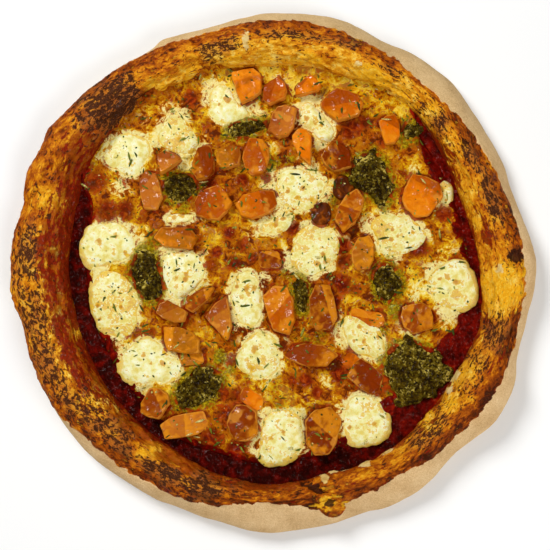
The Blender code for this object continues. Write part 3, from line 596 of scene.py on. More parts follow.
def crust_finish():
    """Baked skin: one scale from pale dough through gold and brown to char, with curls along the rim."""
    look = Finish("baked_crust", Specular_IOR_Level=0.06)
    flow = look.stretched("flow", (0.5, 0.5, 1.0))
    streaked = look.stretched("flow", (0.25, 0.25, 1.0))
    broad, middle = look.noise(12, 3), look.noise(4, 4, 0.65, 0.5, flow)
    curl, fine = look.noise(1.8, 3, 0.7, 0.7, flow), look.noise(1.0, 3, 0.7, 0.3, flow)
    streak, grain = look.noise(1.8, 3, 0.65, 0.3, streaked), look.noise(0.6, 2)
    bake = look.weighted(look.mask("bake"), (middle, 0.48), (broad, 0.25), (curl, 0.42))
    colour = look.ramp(bake, (0, 240, 204, 92), (0.2, 230, 164, 30), (0.4, 206, 124, 10),
                       (0.6, 164, 78, 4), (0.8, 110, 44, 2), (1, 62, 22, 2))
    yellow = look.ragged("yellow", middle, 1.2, 0.36, 0.7)
    tint = look.ramp(fine, (0, 218, 138, 4), (0.5, 236, 172, 18), (1, 244, 204, 74))
    colour = look.over(colour, yellow, 0.85, tint)
    # Painted shade at the foot of the inner wall, in sauce-stained red-brown, widest on the left.
    foot = look.ragged("foot", middle, 0.9, 0.3, 0.8)
    tint = look.ramp(middle, (0, 74, 12, 0), (0.5, 128, 44, 0), (1, 180, 90, 4))
    colour = look.over(colour, foot, 0.8, tint)
    stain = look.ragged("stain", streak, 1.5, 0.42, 0.62)
    colour = look.over(colour, stain, 0.88, look.ramp(fine, (0, 74, 2, 0), (1, 150, 24, 0)))
    specks = look.blend(fine, 0.35, curl)
    toasted = look.ragged("char", broad, 0.6, 0.3, 0.8)
    colour = look.over(colour, toasted, 0.45, rgb(170, 104, 42))
    char = look.ragged("char", specks, 2.2, 0.55, 0.72)
    tint = look.ramp(grain, (0, 30, 10, 3), (0.6, 60, 28, 12), (1, 108, 62, 30))
    colour = look.over(colour, char, 0.93, tint)
    pale = look.ragged("pale", middle, 0.5)
    tint = look.ramp(middle, (0, 196, 150, 66), (0.5, 222, 190, 116), (1, 232, 212, 156))
    colour = look.mix(pale, colour, tint)
    # Painted shade: near-black in the cracks.
    shaded_crack = look.ragged("shaded_crack", curl, 0.6)
    colour = look.over(colour, shaded_crack, 0.92, look.ramp(grain, (0, 28, 8, 2), (1, 70, 30, 10)))
    flour = look.blend(grain, 0.6, broad)
    tan = look.ramp(flour, (0.1, 190, 150, 98), (0.5, 216, 178, 126), (0.9, 234, 202, 152))
    tan = look.mix(look.mask("olive"), tan, look.ramp(flour, (0.1, 180, 148, 96), (0.9, 222, 190, 138)))
    flank = look.ragged("flank", curl, 0.4, 0.44, 0.56)
    colour = look.mix(flank, colour, tan)
    scorch = look.blend(middle, 0.5, broad)
    under = look.ragged("under", scorch, 1.3, 0.5, 0.75)
    colour = look.over(colour, under, 0.8, rgb(112, 66, 30))
    look.bump(look.weighted(0.0, (curl, 0.5), (fine, 0.35), (grain, 0.15)), 0.8, 0.7)
    wet = look.math("MULTIPLY", look.math("MAXIMUM", stain, foot), look.glints(1.6, 0.2))
    return look.finish(colour, look.weighted(0.5, (flank, 0.35, 0.0), (fine, 0.2)), wet)


def sauce_finish():
    look = Finish("tomato_sauce", Specular_IOR_Level=0.03)
    middle, fine, grain = look.noise(5, 3), look.noise(1.6, 3), look.noise(0.7, 2)
    # The dark mask is painted shade: it pulls the sauce towards near-black where the rim's wall shades it,
    # most on the lower left.
    mixed = look.weighted(0.5, (middle, 0.9), (fine, 0.25), (look.mask("dark"), -0.28, 0.0))
    colour = look.ramp(mixed, (0, 44, 3, 0), (0.25, 68, 4, 0), (0.55, 102, 7, 0), (0.85, 132, 14, 2),
                       (1, 164, 44, 6))
    look.bump(look.weighted(0.0, (fine, 0.6), (grain, 0.3)), 1.3, 0.9)
    return look.finish(colour, 0.3, look.glints(1.6, 0.34))


def cheese_finish():
    """Melted cheese: yellow to orange, with cream, browned and reddened spots, green oil, and painted shade
    by toppings.
    """
    look = Finish("melted_cheese", Specular_IOR_Level=0.03)
    broad, middle = look.noise(10, 3), look.noise(4.5, 4, 0.65, 0.8)
    fine, grain = look.noise(1.6, 3, 0.65, 0.5), look.noise(0.6, 2)
    blotch = look.blend(fine, 0.25, middle)
    warm = look.weighted(look.mask("warm"), (middle, 1.05), (broad, 0.45), (fine, 0.25))
    colour = look.ramp(warm, (0.02, 92, 32, 0), (0.25, 146, 66, 0), (0.45, 188, 112, 2),
                       (0.65, 218, 168, 10), (0.95, 238, 208, 76))
    cream = look.ragged("pale", blotch, 1.1, 0.44, 0.72)
    tint = look.ramp(fine, (0, 228, 200, 104), (0.6, 234, 222, 148), (1, 236, 230, 172))
    colour = look.over(colour, cream, 0.92, tint)
    oil = look.ragged("oil", blotch, 1.1, 0.3, 0.68)
    tint = look.ramp(fine, (0, 66, 54, 0), (0.5, 130, 114, 4), (1, 204, 176, 20))
    colour = look.over(colour, oil, 0.9, tint)
    toast = look.ragged("brown", blotch, 1.3, 0.42, 0.7)
    colour = look.over(colour, toast, 0.8, look.ramp(fine, (0, 112, 36, 0), (1, 188, 90, 2)))
    # The red mask holds reddened spots, and painted shade in the crevices and gaps beside the toppings.
    red = look.ragged("red", blotch, 1.3, 0.35, 0.75)
    tint = look.ramp(middle, (0.1, 62, 6, 0), (0.5, 114, 18, 0), (0.95, 176, 68, 2))
    colour = look.over(colour, red, 0.93, tint)
    sauce = look.ragged("sauce", middle, 0.9, 0.4, 0.6)
    colour = look.mix(sauce, colour, look.ramp(middle, (0, 54, 2, 0), (0.6, 100, 6, 0), (1, 156, 30, 2)))
    look.bump(look.weighted(0.0, (middle, 0.5), (fine, 0.4), (grain, 0.15)), 0.8, 0.8)
    return look.finish(colour, 0.45, look.glints(1.8, 0.25))


def mozzarella_finish():
    look = Finish("mozzarella", Specular_IOR_Level=0.08, Subsurface_Weight=0.05, Subsurface_Scale=0.003)
    middle, fine = look.noise(4, 3), look.noise(1.3, 3)
    blotch = look.blend(fine, 0.4, middle)
    colour = look.ramp(middle, (0.12, 218, 198, 100), (0.42, 230, 222, 148), (0.78, 237, 237, 196))
    golden = look.ragged("golden", blotch, 1.9, 0.4, 0.66)
    tint = look.ramp(fine, (0, 192, 128, 0), (0.6, 218, 172, 24), (1, 226, 196, 84))
    colour = look.over(colour, golden, 0.85, tint)
    spot = look.ragged("toast", blotch, 0.9, 0.45, 0.7)
    tint = look.ramp(look.mask("toast"), (0.5, 214, 162, 18), (1, 178, 108, 0))
    colour = look.over(colour, spot, 0.85, tint)
    edge = look.ragged("edge", blotch, 1.5, 0.34, 0.74)
    tint = look.ramp(fine, (0, 200, 136, 0), (0.6, 222, 180, 34), (1, 230, 204, 92))
    colour = look.over(colour, edge, 0.75, tint)
    look.bump(look.weighted(0.0, (middle, 0.6), (fine, 0.4)), 0.4, 0.5)
    return look.finish(colour, 0.4, look.glints(2.0, 0.2))


def tomato_finish():
    """Cooked tomato flesh, deep rust to bright orange, tan and salmon, with painted shade on one side and
    painted light on the other.
    """
    look = Finish("diced_tomato", Specular_IOR_Level=0.03)
    broad, middle, fine = look.noise(10, 2), look.noise(4.5, 3, 0.5, 0.6), look.noise(1.2, 2)
    tone = look.weighted(look.mask("tone"), (middle, 0.12), (broad, 0.1))
    colour = look.ramp(tone, (0.02, 118, 40, 0), (0.2, 142, 60, 0), (0.4, 170, 74, 0), (0.6, 218, 108, 0),
                       (0.8, 162, 94, 6), (0.98, 182, 100, 28))
    # Painted shade and light: darker on one side and on some cut facets, lighter on the other side and the
    # other facets.
    shade = look.weighted(look.mask("shade"), (broad, 0.5), (middle, 0.4))
    colour = look.over(colour, look.step(shade, 0.5, 1.0), 0.65, rgb(130, 44, 0))
    colour = look.over(colour, look.step(shade, 0.45, 0.0), 0.6, rgb(234, 148, 24))
    # Painted light at the thin edges of the flesh: lighter there, as if lit through.
    rim = look.ragged("rim", broad, 1.6, 0.5, 0.9)
    colour = look.over(colour, rim, 0.6, rgb(226, 150, 50))
    tint = look.ramp(middle, (0, 48, 16, 2), (0.6, 92, 38, 4), (1, 150, 74, 10))
    colour = look.mix(look.mask("dark"), colour, tint)
    look.bump(look.weighted(0.0, (middle, 0.8), (fine, 0.12)), 0.9, 0.8)
    return look.finish(colour, 0.4, look.glints(4.0, 0.36))


def pesto_finish():
    look = Finish("basil_pesto", Specular_IOR_Level=0.03)
    middle, fine = look.noise(3.0, 3), look.noise(0.9, 3, 0.7)
    mixed = look.weighted(look.mask("tone"), (middle, 0.5), (fine, 0.4))
    colour = look.ramp(mixed, (0.1, 34, 20, 0), (0.42, 70, 50, 2), (0.7, 106, 86, 10), (1, 200, 176, 80))
    look.bump(look.weighted(0.0, (fine, 0.6), (middle, 0.4)), 0.7, 0.8)
    return look.finish(colour, 0.45, look.glints(1.0, 0.28))


def herb_finish():
    look = Finish("dried_herbs", Specular_IOR_Level=0.15)
    fine = look.noise(0.7, 2)
    mixed = look.weighted(look.math("MULTIPLY", look.mask("tone"), 0.95), (fine, 0.3))
    colour = look.ramp(mixed, (0, 42, 46, 4), (0.4, 76, 86, 10), (0.7, 114, 120, 26), (0.86, 170, 158, 70),
                       (1, 232, 212, 140))
    look.bump(fine, 0.15, 0.5)
    return look.finish(colour, look.step(fine, -1.5, 1.8, smooth=False))


def chopped_finish():
    look = Finish("chopped_basil", Specular_IOR_Level=0.05)
    fine = look.noise(0.8, 2)
    mixed = look.weighted(look.math("MULTIPLY", look.mask("tone"), 0.9), (fine, 0.3))
    colour = look.ramp(mixed, (0.05, 32, 20, 0), (0.4, 62, 46, 2), (0.72, 94, 78, 10), (0.9, 130, 110, 30),
                       (1, 214, 194, 116))
    look.bump(fine, 0.2, 0.6)
    return look.finish(colour, 0.45, look.glints(1.0, 0.28))


# Crust

def ovals(points, table):
    """The strongest of these ovals at every point, seen from above."""
    total = np.zeros(points.shape[:-1])
    stir = points[..., :2] + 1.5 * np.stack([layered(points, 6.0, 301), layered(points, 6.0, 305)], -1)
    for x, y, length, width, turn, strength in table:
        offset = stir - (x, y)
        along = offset @ (math.cos(math.radians(turn)), math.sin(math.radians(turn))) * 2 / length
        across = offset @ (-math.sin(math.radians(turn)), math.cos(math.radians(turn))) * 2 / width
        total = np.maximum(total, strength * np.exp(-np.hypot(along, across) ** 3 * 0.7))
    return total


def crust_masks(points, share, degrees):
    """Where the rim is golden, charred, stained by sauce, pale dough or floury flank, and where shade is
    painted at the wall's foot and in cracks.
    """
    radius = np.hypot(points[..., 0], points[..., 1])
    rough = layered(points, 9.0, 31)
    fine = layered(points, 2.6, 41, 2)
    outside = smooth_step(share, INNER_END - 0.06, INNER_END + 0.12)
    gold = around(GOLD_INSIDE, degrees) * (1 - outside) + around(GOLD_OUTSIDE, degrees) * outside
    yellow = ovals(points, YELLOW_OVALS)
    char = np.zeros_like(radius)
    for first, last, inner, outer, strength in CHAR_BANDS:
        middle, half = (first + last) / 2, (last - first) / 2
        off = np.abs((degrees - middle + 180) % 360 - 180)
        along = 1 - smooth_step(off + 3 * rough, half - 4, half + 4)
        placed = radius + 3 * rough
        across = smooth_step(placed, inner - 4, inner + 3) * (1 - smooth_step(placed, outer - 3, outer + 4))
        char = np.maximum(char, strength * along * across)
    border = around(FLANK_RADII, degrees) + rough + 0.8 * fine
    overhang = np.hypot(points[..., 0] - OVERHANG_X, points[..., 1] - OVERHANG_Y) - OVERHANG_RADIUS
    beyond = np.where(share > INNER_END, np.minimum(radius - border, overhang - 0.5 * rough), -30)
    flank = smooth_step(beyond, -0.5, 0.5)
    flank = np.maximum(flank, smooth_step(share + 0.01 * rough, OUTER_END, OUTER_END + 0.05))
    margin = smooth_step(beyond, -10, -3) * (1 - flank)
    speckled = 0.34 * smooth_step(rough, -0.6, 0.7) * smooth_step(share, 0.16, 0.34)
    char = np.maximum(char * 0.9, speckled) * (1 - 0.5 * margin) * (1 - 0.9 * yellow)
    darker = 0.12 * towards(degrees, 315, 0.3, 0.9)
    bake = 0.7 - 0.46 * gold + 0.2 * margin + 0.1 * char + 0.08 * rough + darker
    bake = bake + (0.14 - bake) * yellow * 0.9
    rise = 0.6 * around(STAIN_RISE, degrees)
    stain = 1 - smooth_step(share + 0.05 * rough, rise - 0.06, rise + 0.08)
    stain = np.maximum(stain, ovals(points, RED_OVALS))
    smears = 0.36 * smooth_step(rise, 0.07, 0.13) * (1 - smooth_step(share, 0.3, 0.46))
    stain = np.maximum(stain, smears) * (1 - 0.6 * yellow)
    # The foot band: sauce stain and painted shade at the foot of the inner wall, widest on the left, left out
    # towards the top.
    leftward = towards(degrees, 195, -0.6, 0.6)
    foot = 1 - smooth_step(share + 0.04 * rough, 0.04 + 0.16 * leftward, 0.16 + 0.32 * leftward)
    foot = foot * (1 - 0.8 * yellow)
    foot = foot * (1 - towards(degrees, 85, 0.75, 0.95))
    pale, shaded_crack = ovals(points, DOUGH_OVALS), ovals(points, CRACK_OVALS)
    olive = towards(degrees, 80, 0.3, 1.0) * 0.6
    under = smooth_step(share, 0.97, 1.0) * UNDERSIDE_BAKE
    return {"bake": bake, "char": char * (1 - flank), "flank": flank, "stain": stain, "pale": pale,
            "shaded_crack": shaded_crack * (1 - 0.8 * flank), "yellow": yellow * (1 - flank), "olive": olive,
            "under": under, "foot": foot}


def make_crust():
    degrees = np.arange(RIM_STEPS) * 360.0 / RIM_STEPS
    foot = around(FOOT_RADII, degrees)
    share = np.linspace(0, 1, RIM_ROWS)[:, None]
    rings = rim_points(degrees, share)
    degrees, share = np.broadcast_arrays(degrees, share)
    values = crust_masks(rings, share, degrees)
    along = np.concatenate([[0], np.cumsum(np.linalg.norm(np.diff(rings, axis=0), axis=-1).mean(axis=1))])
    flow = polar(FLOW_RADIUS, degrees, along[:, None])
    drawn_out = flow * (0.5, 0.5, 1.0)
    top = (1 - values["flank"]) * smooth_step(share, 0.02, 0.12)
    crags = (1.8 - smooth_step(share, 0.5, 0.75)) * (0.5 - np.abs(layered(drawn_out, 8.0, 51)))
    curls = 0.8 * (0.5 - np.abs(layered(drawn_out, 2.8, 55, 2)))
    pitted = smooth_step(layered(rings, 14.0, 71), -0.4, 0.4)
    pits = 0.6 * smooth_step(grains(drawn_out, 3.0, 61), 0.3, 0.65) * pitted
    flank_relief = 0.3 * noise(rings, 9, 91) + 0.06 * noise(rings, 1.8, 92)
    marks = values["pale"] - 1.6 * values["shaded_crack"]
    relief = top * (crags + curls - pits + marks) + values["flank"] * flank_relief
    relief = relief * smooth_step(1 - share, 0.02, 0.12)
    rings = rings + outward(rings) * relief[..., None]
    rings[..., 2] = np.clip(rings[..., 2], 0, CAD_BOX[1][2] / MM + HIGHEST_CURL)
    floor = level_rings(foot, (0.9,), (FLOOR_TOP,))
    below = level_rings(np.hypot(rings[-1, :, 0], rings[-1, :, 1]), (0.9, 0.6, 0.3), (0, 0, 0))
    base = dict.fromkeys(values, 0.0)
    base.update(flank=1.0, under=UNDERSIDE_BAKE)
    values = {name: np.concatenate([np.zeros((1, RIM_STEPS)), value, np.full((3, RIM_STEPS), base[name])])
              for name, value in values.items()}
    mesh = make_mesh("browned_crust", Skin(np.concatenate([floor, rings, below]), values))
    flow = np.concatenate([flow[:1], flow, np.repeat(flow[-1:], 3, axis=0)]).reshape(-1, 3)
    flow = np.concatenate([flow, flow[:1], flow[-1:]])
    held = mesh.attributes.new("flow", "FLOAT_VECTOR", "POINT")
    held.data.foreach_set("vector", (flow * MM).astype(np.float32).ravel())
    add_piece("browned_crust", mesh, crust_finish(), ("crust",))


# Sauce

def make_sauce():
    degrees = np.arange(RIM_STEPS) * 360 / RIM_STEPS
    edge = around(WALL_RADII, degrees) + 1.8
    shares = np.linspace(0.62, 1.0, 60)
    rings = level_rings(edge, shares, np.full(len(shares), FLOOR_TOP + GAP + SAUCE_THICKNESS))
    lumps = 0.9 * layered(rings, 6.0, 101) + 0.5 * (0.5 - grains(rings, 3.5, 103))
    lumps = lumps + 0.15 * noise(rings, 1.6, 105)
    rings[..., 2] += lumps + 2.6 * smooth_step(shares, 0.95, 1.0)[:, None]
    below = level_rings(edge, (1.0,), (FLOOR_TOP + GAP,))
    # Painted shade on the sauce, strongest towards 225 degrees, the lower left.
    dark = np.broadcast_to(towards(degrees, 225, -0.1, 0.5), rings.shape[:-1])
    skin = closed_below(rings, below, {"dark": dark})
    add_piece("sauce", make_mesh("sauce", skin), sauce_finish(), ("tomato_sauce",))


# Measures of the toppings

class Shape:
    """What a topping's solid says about it: its middle, outline radii, foot, and the plane of its top."""

    def __init__(self, node):
        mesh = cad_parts[node].data
        points = np.empty(len(mesh.vertices) * 3)
        mesh.vertices.foreach_get("co", points)
        points = points.reshape(-1, 3) / MM + (*MIDDLE, 0)
        corners = np.empty(len(mesh.loops), int)
        mesh.loops.foreach_get("vertex_index", corners)
        corners = corners.reshape(-1, 3)
        low, high = points.min(axis=0), points.max(axis=0)
        self.node = node
        self.middle = (low[:2] + high[:2]) / 2
        self.foot, self.top = low[2], high[2]
        start = points[corners.ravel()][:, :2] - self.middle
        end = points[np.roll(corners, -1, axis=1).ravel()][:, :2] - self.middle
        self.radii = self.outline(start, end)
        upper = points[points[:, 2] > low[2] + 0.75 * (high[2] - low[2])]
        known = np.column_stack([upper[:, :2] - self.middle, np.ones(len(upper))])
        self.plane = np.linalg.lstsq(known, upper[:, 2], rcond=None)[0]

    @staticmethod
    def outline(start, end):
        """Farthest point of these edges from the middle, along evenly spaced directions."""
        angles = np.arange(OUTLINE_STEPS) * 2 * math.pi / OUTLINE_STEPS
        x, y = np.cos(angles)[:, None], np.sin(angles)[:, None]
        run = end - start
        against = x * run[:, 1] - y * run[:, 0]
        along = -(x * start[:, 1] - y * start[:, 0]) / np.where(np.abs(against) < 1e-9, 1e-9, against)
        reach = x * (start[:, 0] + along * run[:, 0]) + y * (start[:, 1] + along * run[:, 1])
        return np.where((along > -1e-6) & (along < 1 + 1e-6), reach, 0).max(axis=1)

    def radius(self, degrees, softness=0):
        """Radius of the outline, averaged over this many steps on each side."""
        soft = np.mean([np.roll(self.radii, k) for k in range(-softness, softness + 1)], axis=0)
        return around(soft, degrees)

    def distance(self, points):
        """How far points are outside the outline, below 0 inside, along their lines to the middle."""
        offset = points[..., :2] - self.middle
        return np.linalg.norm(offset, axis=-1) - self.radius(angle_of(offset), 2)


def nearest(shapes, points):
    """Distance of points from the nearest of these toppings, up to 20 mm."""
    found = np.full(points.shape[:-1], 20.0)
    for shape in shapes:
        near = np.abs(points[..., :2] - shape.middle).max(axis=-1) < shape.radii.max() + 20
        found[near] = np.minimum(found[near], shape.distance(points[near]))
    return found


# Melted cheese

def cheese_edge(degrees):
    """The cheese's edge, which reaches into the rim's wall where the cheese climbs it."""
    wall = around(WALL_RADII, degrees)
    climb = np.clip(around(CLIMB, degrees), 0, None)
    free = np.minimum(around(CHEESE_RADII, degrees), wall - 0.8)
    return free + (wall + 1.2 + 0.6 * climb - free) * smooth_step(climb, 0.2, 1.5)


def patches(points, table):
    """The strongest of these round patches at every point."""
    total = np.zeros(points.shape[:-1])
    for x, y, spread, strength in table:
        away = np.hypot(points[..., 0] - x, points[..., 1] - y) / spread
        total = np.maximum(total, strength * np.exp(-away ** 3))
    return total


def cheese_level(points, away):
    """Height of the melted cheese, drawn up at the toppings and blistered elsewhere, and how far in it is."""
    flat = raised(points)
    relief = CHEESE_RELIEF * noise(flat, CHEESE_RELIEF_SIZE, 3)
    for x, y, spread, height in BLISTERS:
        relief = relief + height * np.exp(-((np.hypot(flat[..., 0] - x, flat[..., 1] - y) / spread) ** 2) * 2)
    relief = relief + 0.7 * layered(flat, 6.0, 111) + 0.55 * (0.5 - np.minimum(grains(flat, 4.0, 115), 0.8))
    relief = relief + 0.18 * layered(flat, 2.0, 117, 2)
    hug = 1.5 + 0.7 * layered(flat, 5.0, 119, 2)
    drawn_up = hug * np.exp(-((np.maximum(away, 0) / 2.6) ** 2)) * smooth_step(away, -1.6, -0.2)
    angles = angle_of(points)
    inside = cheese_edge(angles) - np.hypot(points[..., 0], points[..., 1])
    climb = np.clip(around(CLIMB, angles), 0, None)
    edge = np.clip(1 - inside / CHEESE_EDGE_WIDTH, 0, 1) ** 2
    climbing = smooth_step(climb, 0.2, 1.5)
    thickness = CHEESE_THICKNESS + relief * smooth_step(away, 0.3, 4.0) + drawn_up
    falling = thickness * (1 - edge) + (CHEESE_EDGE_THICKNESS - 1.4) * edge
    rising = thickness + (climb + 1.5) * np.clip(1 - inside / 9.0, 0, 1) ** 1.6
    return CHEESE_BOTTOM + falling * (1 - climbing) + rising * climbing, inside


def make_cheese(tomatoes, mozzarella, pesto):
    edge = cheese_edge(np.arange(CHEESE_STEPS) * 360 / CHEESE_STEPS)
    shares = (np.arange(CHEESE_ROWS) + 1) / CHEESE_ROWS
    rings = level_rings(edge, shares, np.zeros(CHEESE_ROWS))
    to_tomato, to_slice, to_pesto = (nearest(shapes, rings) for shapes in (tomatoes, mozzarella, pesto))
    level, inside = cheese_level(rings, np.minimum(np.minimum(to_tomato, to_slice), to_pesto))
    rings[..., 2] = level
    rough = layered(rings, 7.0, 121)
    fine = layered(rings, 3.0, 125, 2)
    tops = [(x, y, 0.9 * spread, 0.4 + 0.15 * height) for x, y, spread, height in BLISTERS]
    showing = around(SAUCE_SHOWING, angle_of(rings))
    skirt = 1.8 + 6.5 * smooth_step(layered(rings, 11.0, 129), -0.1, 0.5)
    melted = 0.95 * np.exp(-((np.maximum(to_slice, 0) / skirt) ** 2))
    cream = np.maximum(patches(rings, CREAM_PATCHES), melted) * (1 - patches(rings, BARE_PATCHES))
    beside = np.minimum(to_tomato, to_pesto)
    # Painted shade: the cheese turns dark red-brown in the crevices beside tomatoes and pesto.
    crevice_shade = np.exp(-((np.maximum(beside, 0) / 2.2) ** 2)) * smooth_step(rough, -0.3, 0.4)
    oily = 0.85 * np.exp(-((np.maximum(to_pesto, 0) / 4.5) ** 2))
    values = {
        "warm": 0.4 + 0.3 * cream + 0.38 * patches(rings, GOLD_PATCHES) + 0.25 * layered(rings, 16.0, 127),
        "pale": 0.17 + 0.64 * cream + 0.14 * rough,
        "oil": np.maximum(oily, patches(rings, OIL_PATCHES)),
        "brown": np.maximum(patches(rings, tops), 0.42 + 0.3 * fine) * (1 - 0.7 * cream),
        "red": np.maximum(patches(rings, RED_AND_SHADE_PATCHES), crevice_shade),
        "sauce": smooth_step(showing - inside + 2.5 * rough, -2, 2) * (showing > 0.5),
    }
    skin = closed_below(rings, level_rings(edge, (0.99,), (CHEESE_BOTTOM - 0.9,)), values)
    add_piece("cheese", make_mesh("cheese", skin), cheese_finish(), ("melted_cheese",))
    return skin


# Toppings

class Morsel(Shape):
    """A piece too small to have a solid of its own, measured by its length, width, turn and height."""

    def __init__(self, x, y, length, width, turn, height, kind):
        self.node, self.kind = None, kind
        self.middle = np.array([x, y], float)
        self.foot = CHEESE_BOTTOM + CHEESE_THICKNESS - SUNK
        self.top = self.foot + SUNK + height
        self.plane = np.array([0.0, 0.0, self.top])
        angles = np.arange(OUTLINE_STEPS) * 2 * math.pi / OUTLINE_STEPS
        along, across = np.cos(angles - math.radians(turn)), np.sin(angles - math.radians(turn))
        power = 4.0 if kind in ("bright", "brown", "tan", "deep") else 2.2
        reach = (np.abs(along * 2 / length) ** power + np.abs(across * 2 / width) ** power) ** (-1 / power)
        ring = np.stack([x + reach * np.cos(angles), y + reach * np.sin(angles), np.zeros(OUTLINE_STEPS)], -1)
        self.radii = reach * (1 + 0.12 * layered(ring, 8.0, 201))


def topping_rings(shape, columns, shares, softness, ragged, seed):
    """Flat rings at shares of a topping's outline: offsets from its middle, places, and the shares."""
    degrees = np.arange(columns) * 360 / columns
    angles = np.radians(degrees)
    radii = shape.radius(degrees, softness)
    flat = np.stack([radii * np.cos(angles), radii * np.sin(angles)], -1)
    offset = flat[None] * shares[:, None, None]
    stir = 1 + ragged * layered(raised(offset + shape.middle), 5.0, seed) * shares[:, None] ** 2
    offset = offset * stir[..., None]
    return offset, raised(offset + shape.middle), np.broadcast_to(shares[:, None], stir.shape)


def add_toppings(name, skins, shapes, material):
    """One piece of all these toppings, which stands for the ones that are solids."""
    skin = joined(skins)
    add_piece(name, make_mesh(name, skin), material, [shape.node for shape in shapes if shape.node])
    return skin


def make_mozzarella(shapes):
    """Melted slices: low domes with soft wavy tops and thin edges that run into the cheese."""
    draw = random.Random(21)
    skins = []
    shares = np.concatenate([np.linspace(0.04, 0.8, 22), np.linspace(0.82, 1.1, 16)])
    for number, shape in enumerate(shapes):
        offset, place, share = topping_rings(shape, 120, shares, 6, 0.04, 137)
        dome = np.clip(1 - (share / 1.1) ** 3.2, 0, 1) ** 0.75
        top = shape.plane[2] + offset @ shape.plane[:2] - 0.3
        bottom = shape.foot - 1.2
        waves = 0.45 * layered(place, 8.0, 131) + 0.08 * noise(place, 1.8, 135)
        level = bottom + (top - bottom) * dome + waves * dome
        toast = np.zeros(share.shape)
        for _ in range(draw.randint(3, 6)):
            turn, away = draw.uniform(0, 2 * math.pi), draw.uniform(0.1, 0.95)
            spot = np.array([math.cos(turn), math.sin(turn)]) * away * shape.radii.mean() * 0.9
            size, strength = draw.uniform(1.3, 2.8), draw.uniform(0.7, 1.1)
            spot = np.exp(-((np.linalg.norm(offset - spot, axis=-1) / size) ** 2))
            toast = np.maximum(toast, strength * spot)
            level = level - 0.2 * spot
        edge = smooth_step(share + 0.1 * layered(place, 5.0, 141), 0.8, 1.05)
        golden = 0.75 * (SLICE_GOLD[number] if number < len(SLICE_GOLD) else 0.3)
        golden = golden + 0.3 * layered(place, 9.0, 143)
        rings = raised(place, level)
        values = {"toast": toast, "edge": edge, "golden": golden}
        skins.append(closed_below(rings, rings[-1:] - (0, 0, 0.4), values))
    return add_toppings("mozzarella_slices", skins, shapes, mozzarella_finish())


def make_tomatoes(shapes, tones):
    """Cut chunks: nearly flat tops with worn corners, and steep sides that go down into the cheese."""
    draw = random.Random(33)
    skins = []
    corner = np.linspace(0, math.pi / 2, 8)
    shares = np.concatenate([np.linspace(0.05, 0.86, 16), 0.88 + 0.12 * np.sin(corner), [1.0, 0.98]])
    fall = np.concatenate([np.ones(16), 0.7 + 0.3 * np.cos(corner) ** 0.8, [0.3, 0.0]])[:, None]
    for shape, tone in zip(shapes, tones):
        offset, place, share = topping_rings(shape, 96, shares, 1, 0.03, 157)
        place = raised(place, shape.top)
        turn, bend = draw.uniform(0, math.pi), draw.uniform(-0.9, 0.9)
        lean = offset @ (math.cos(turn), math.sin(turn)) / shape.radii.max()
        creases = 0.5 * (0.4 - np.abs(layered(place, 8.0, 151))) + 0.12 * layered(place, 2.2, 153, 2)
        facet = np.clip(lean - draw.uniform(-0.1, 0.4), 0, None) * shape.radii.max()
        top = shape.plane[2] + offset @ shape.plane[:2] - 0.3 * (1 - share ** 2) + bend * lean ** 2 + creases
        top = top - draw.uniform(0.12, 0.4) * facet
        foot = shape.foot - 1.6
        level = foot + (np.minimum(top, shape.plane[2] + 1.2) - foot) * fall
        # Painted shading: one side and some facets of each chunk darker, the rest lighter.
        shade = 0.42 + 0.25 * lean + 0.4 * smooth_step(facet, 0, 0.6) * draw.choice((-1, 1))
        # The rim value marks the edges where painted light is laid on.
        skins.append(Skin(raised(place, level), {
            "tone": TONES.get(tone, 0.5) + draw.uniform(-0.05, 0.05), "rim": smooth_step(share, 0.84, 1.0),
            "shade": shade, "dark": float(tone == "dark")}))
    return add_toppings("tomato_chunks", skins, shapes, tomato_finish())


def make_pesto(shapes):
    """Spooned lumps of chopped basil in oil: coarse grains all over and a ragged edge."""
    skins = []
    shares = np.concatenate([np.linspace(0.03, 0.85, 40), np.linspace(0.87, 1.08, 14)])
    for shape in shapes:
        offset, place, share = topping_rings(shape, 170, shares, 4, 0.16, 181)
        dome = np.clip(1 - (share / 1.08) ** 2.4, 0, 1) ** 0.6
        top = shape.plane[2] + offset @ shape.plane[:2] - 0.4
        grain = grains(place, 2.6, 171)
        lumps = 1.3 * (0.5 - np.minimum(grain, 0.9)) + 1.1 * layered(place, 6.0, 175)
        lumps = lumps + 0.3 * layered(place, 1.6, 177, 2)
        level = shape.foot - 1.5 + (top - shape.foot + 1.5) * dome + lumps * dome
        tone = 0.45 + 0.4 * layered(place, 5.0, 185) + 0.4 * (0.45 - grain)
        tone = tone + 0.25 * smooth_step(share, 0.7, 1.0)
        rings = raised(place, level)
        skins.append(closed_below(rings, rings[-1:] - (0, 0, 0.6), {"tone": tone}))
    return add_toppings("pesto_spoonfuls", skins, shapes, pesto_finish())


# Scattered herbs

def flake_mesh():
    """A dried leaf scrap one millimetre long: a thin closed strip that curls up at its ends."""
    stations = np.linspace(-0.5, 0.5, 5)
    widths = (0.25, 0.8, 1.0, 0.75, 0.15)
    rings = []
    for x, width in zip(stations, widths):
        lift = 0.5 * x * x + 0.04
        half = 0.5 * width
        rings.append([(lift - 0.05 + 0.1 * (k in (0, 1)), half * side, x)
                      for k, side in enumerate((-1, 1, 1, -1))])
    skin = Skin(np.array(rings)[..., ::-1])
    skin.points = skin.points + (*MIDDLE, 0)
    mesh = make_mesh("flake", skin)
    mesh.transform(Matrix.Scale(1 / MM, 4))
    return mesh


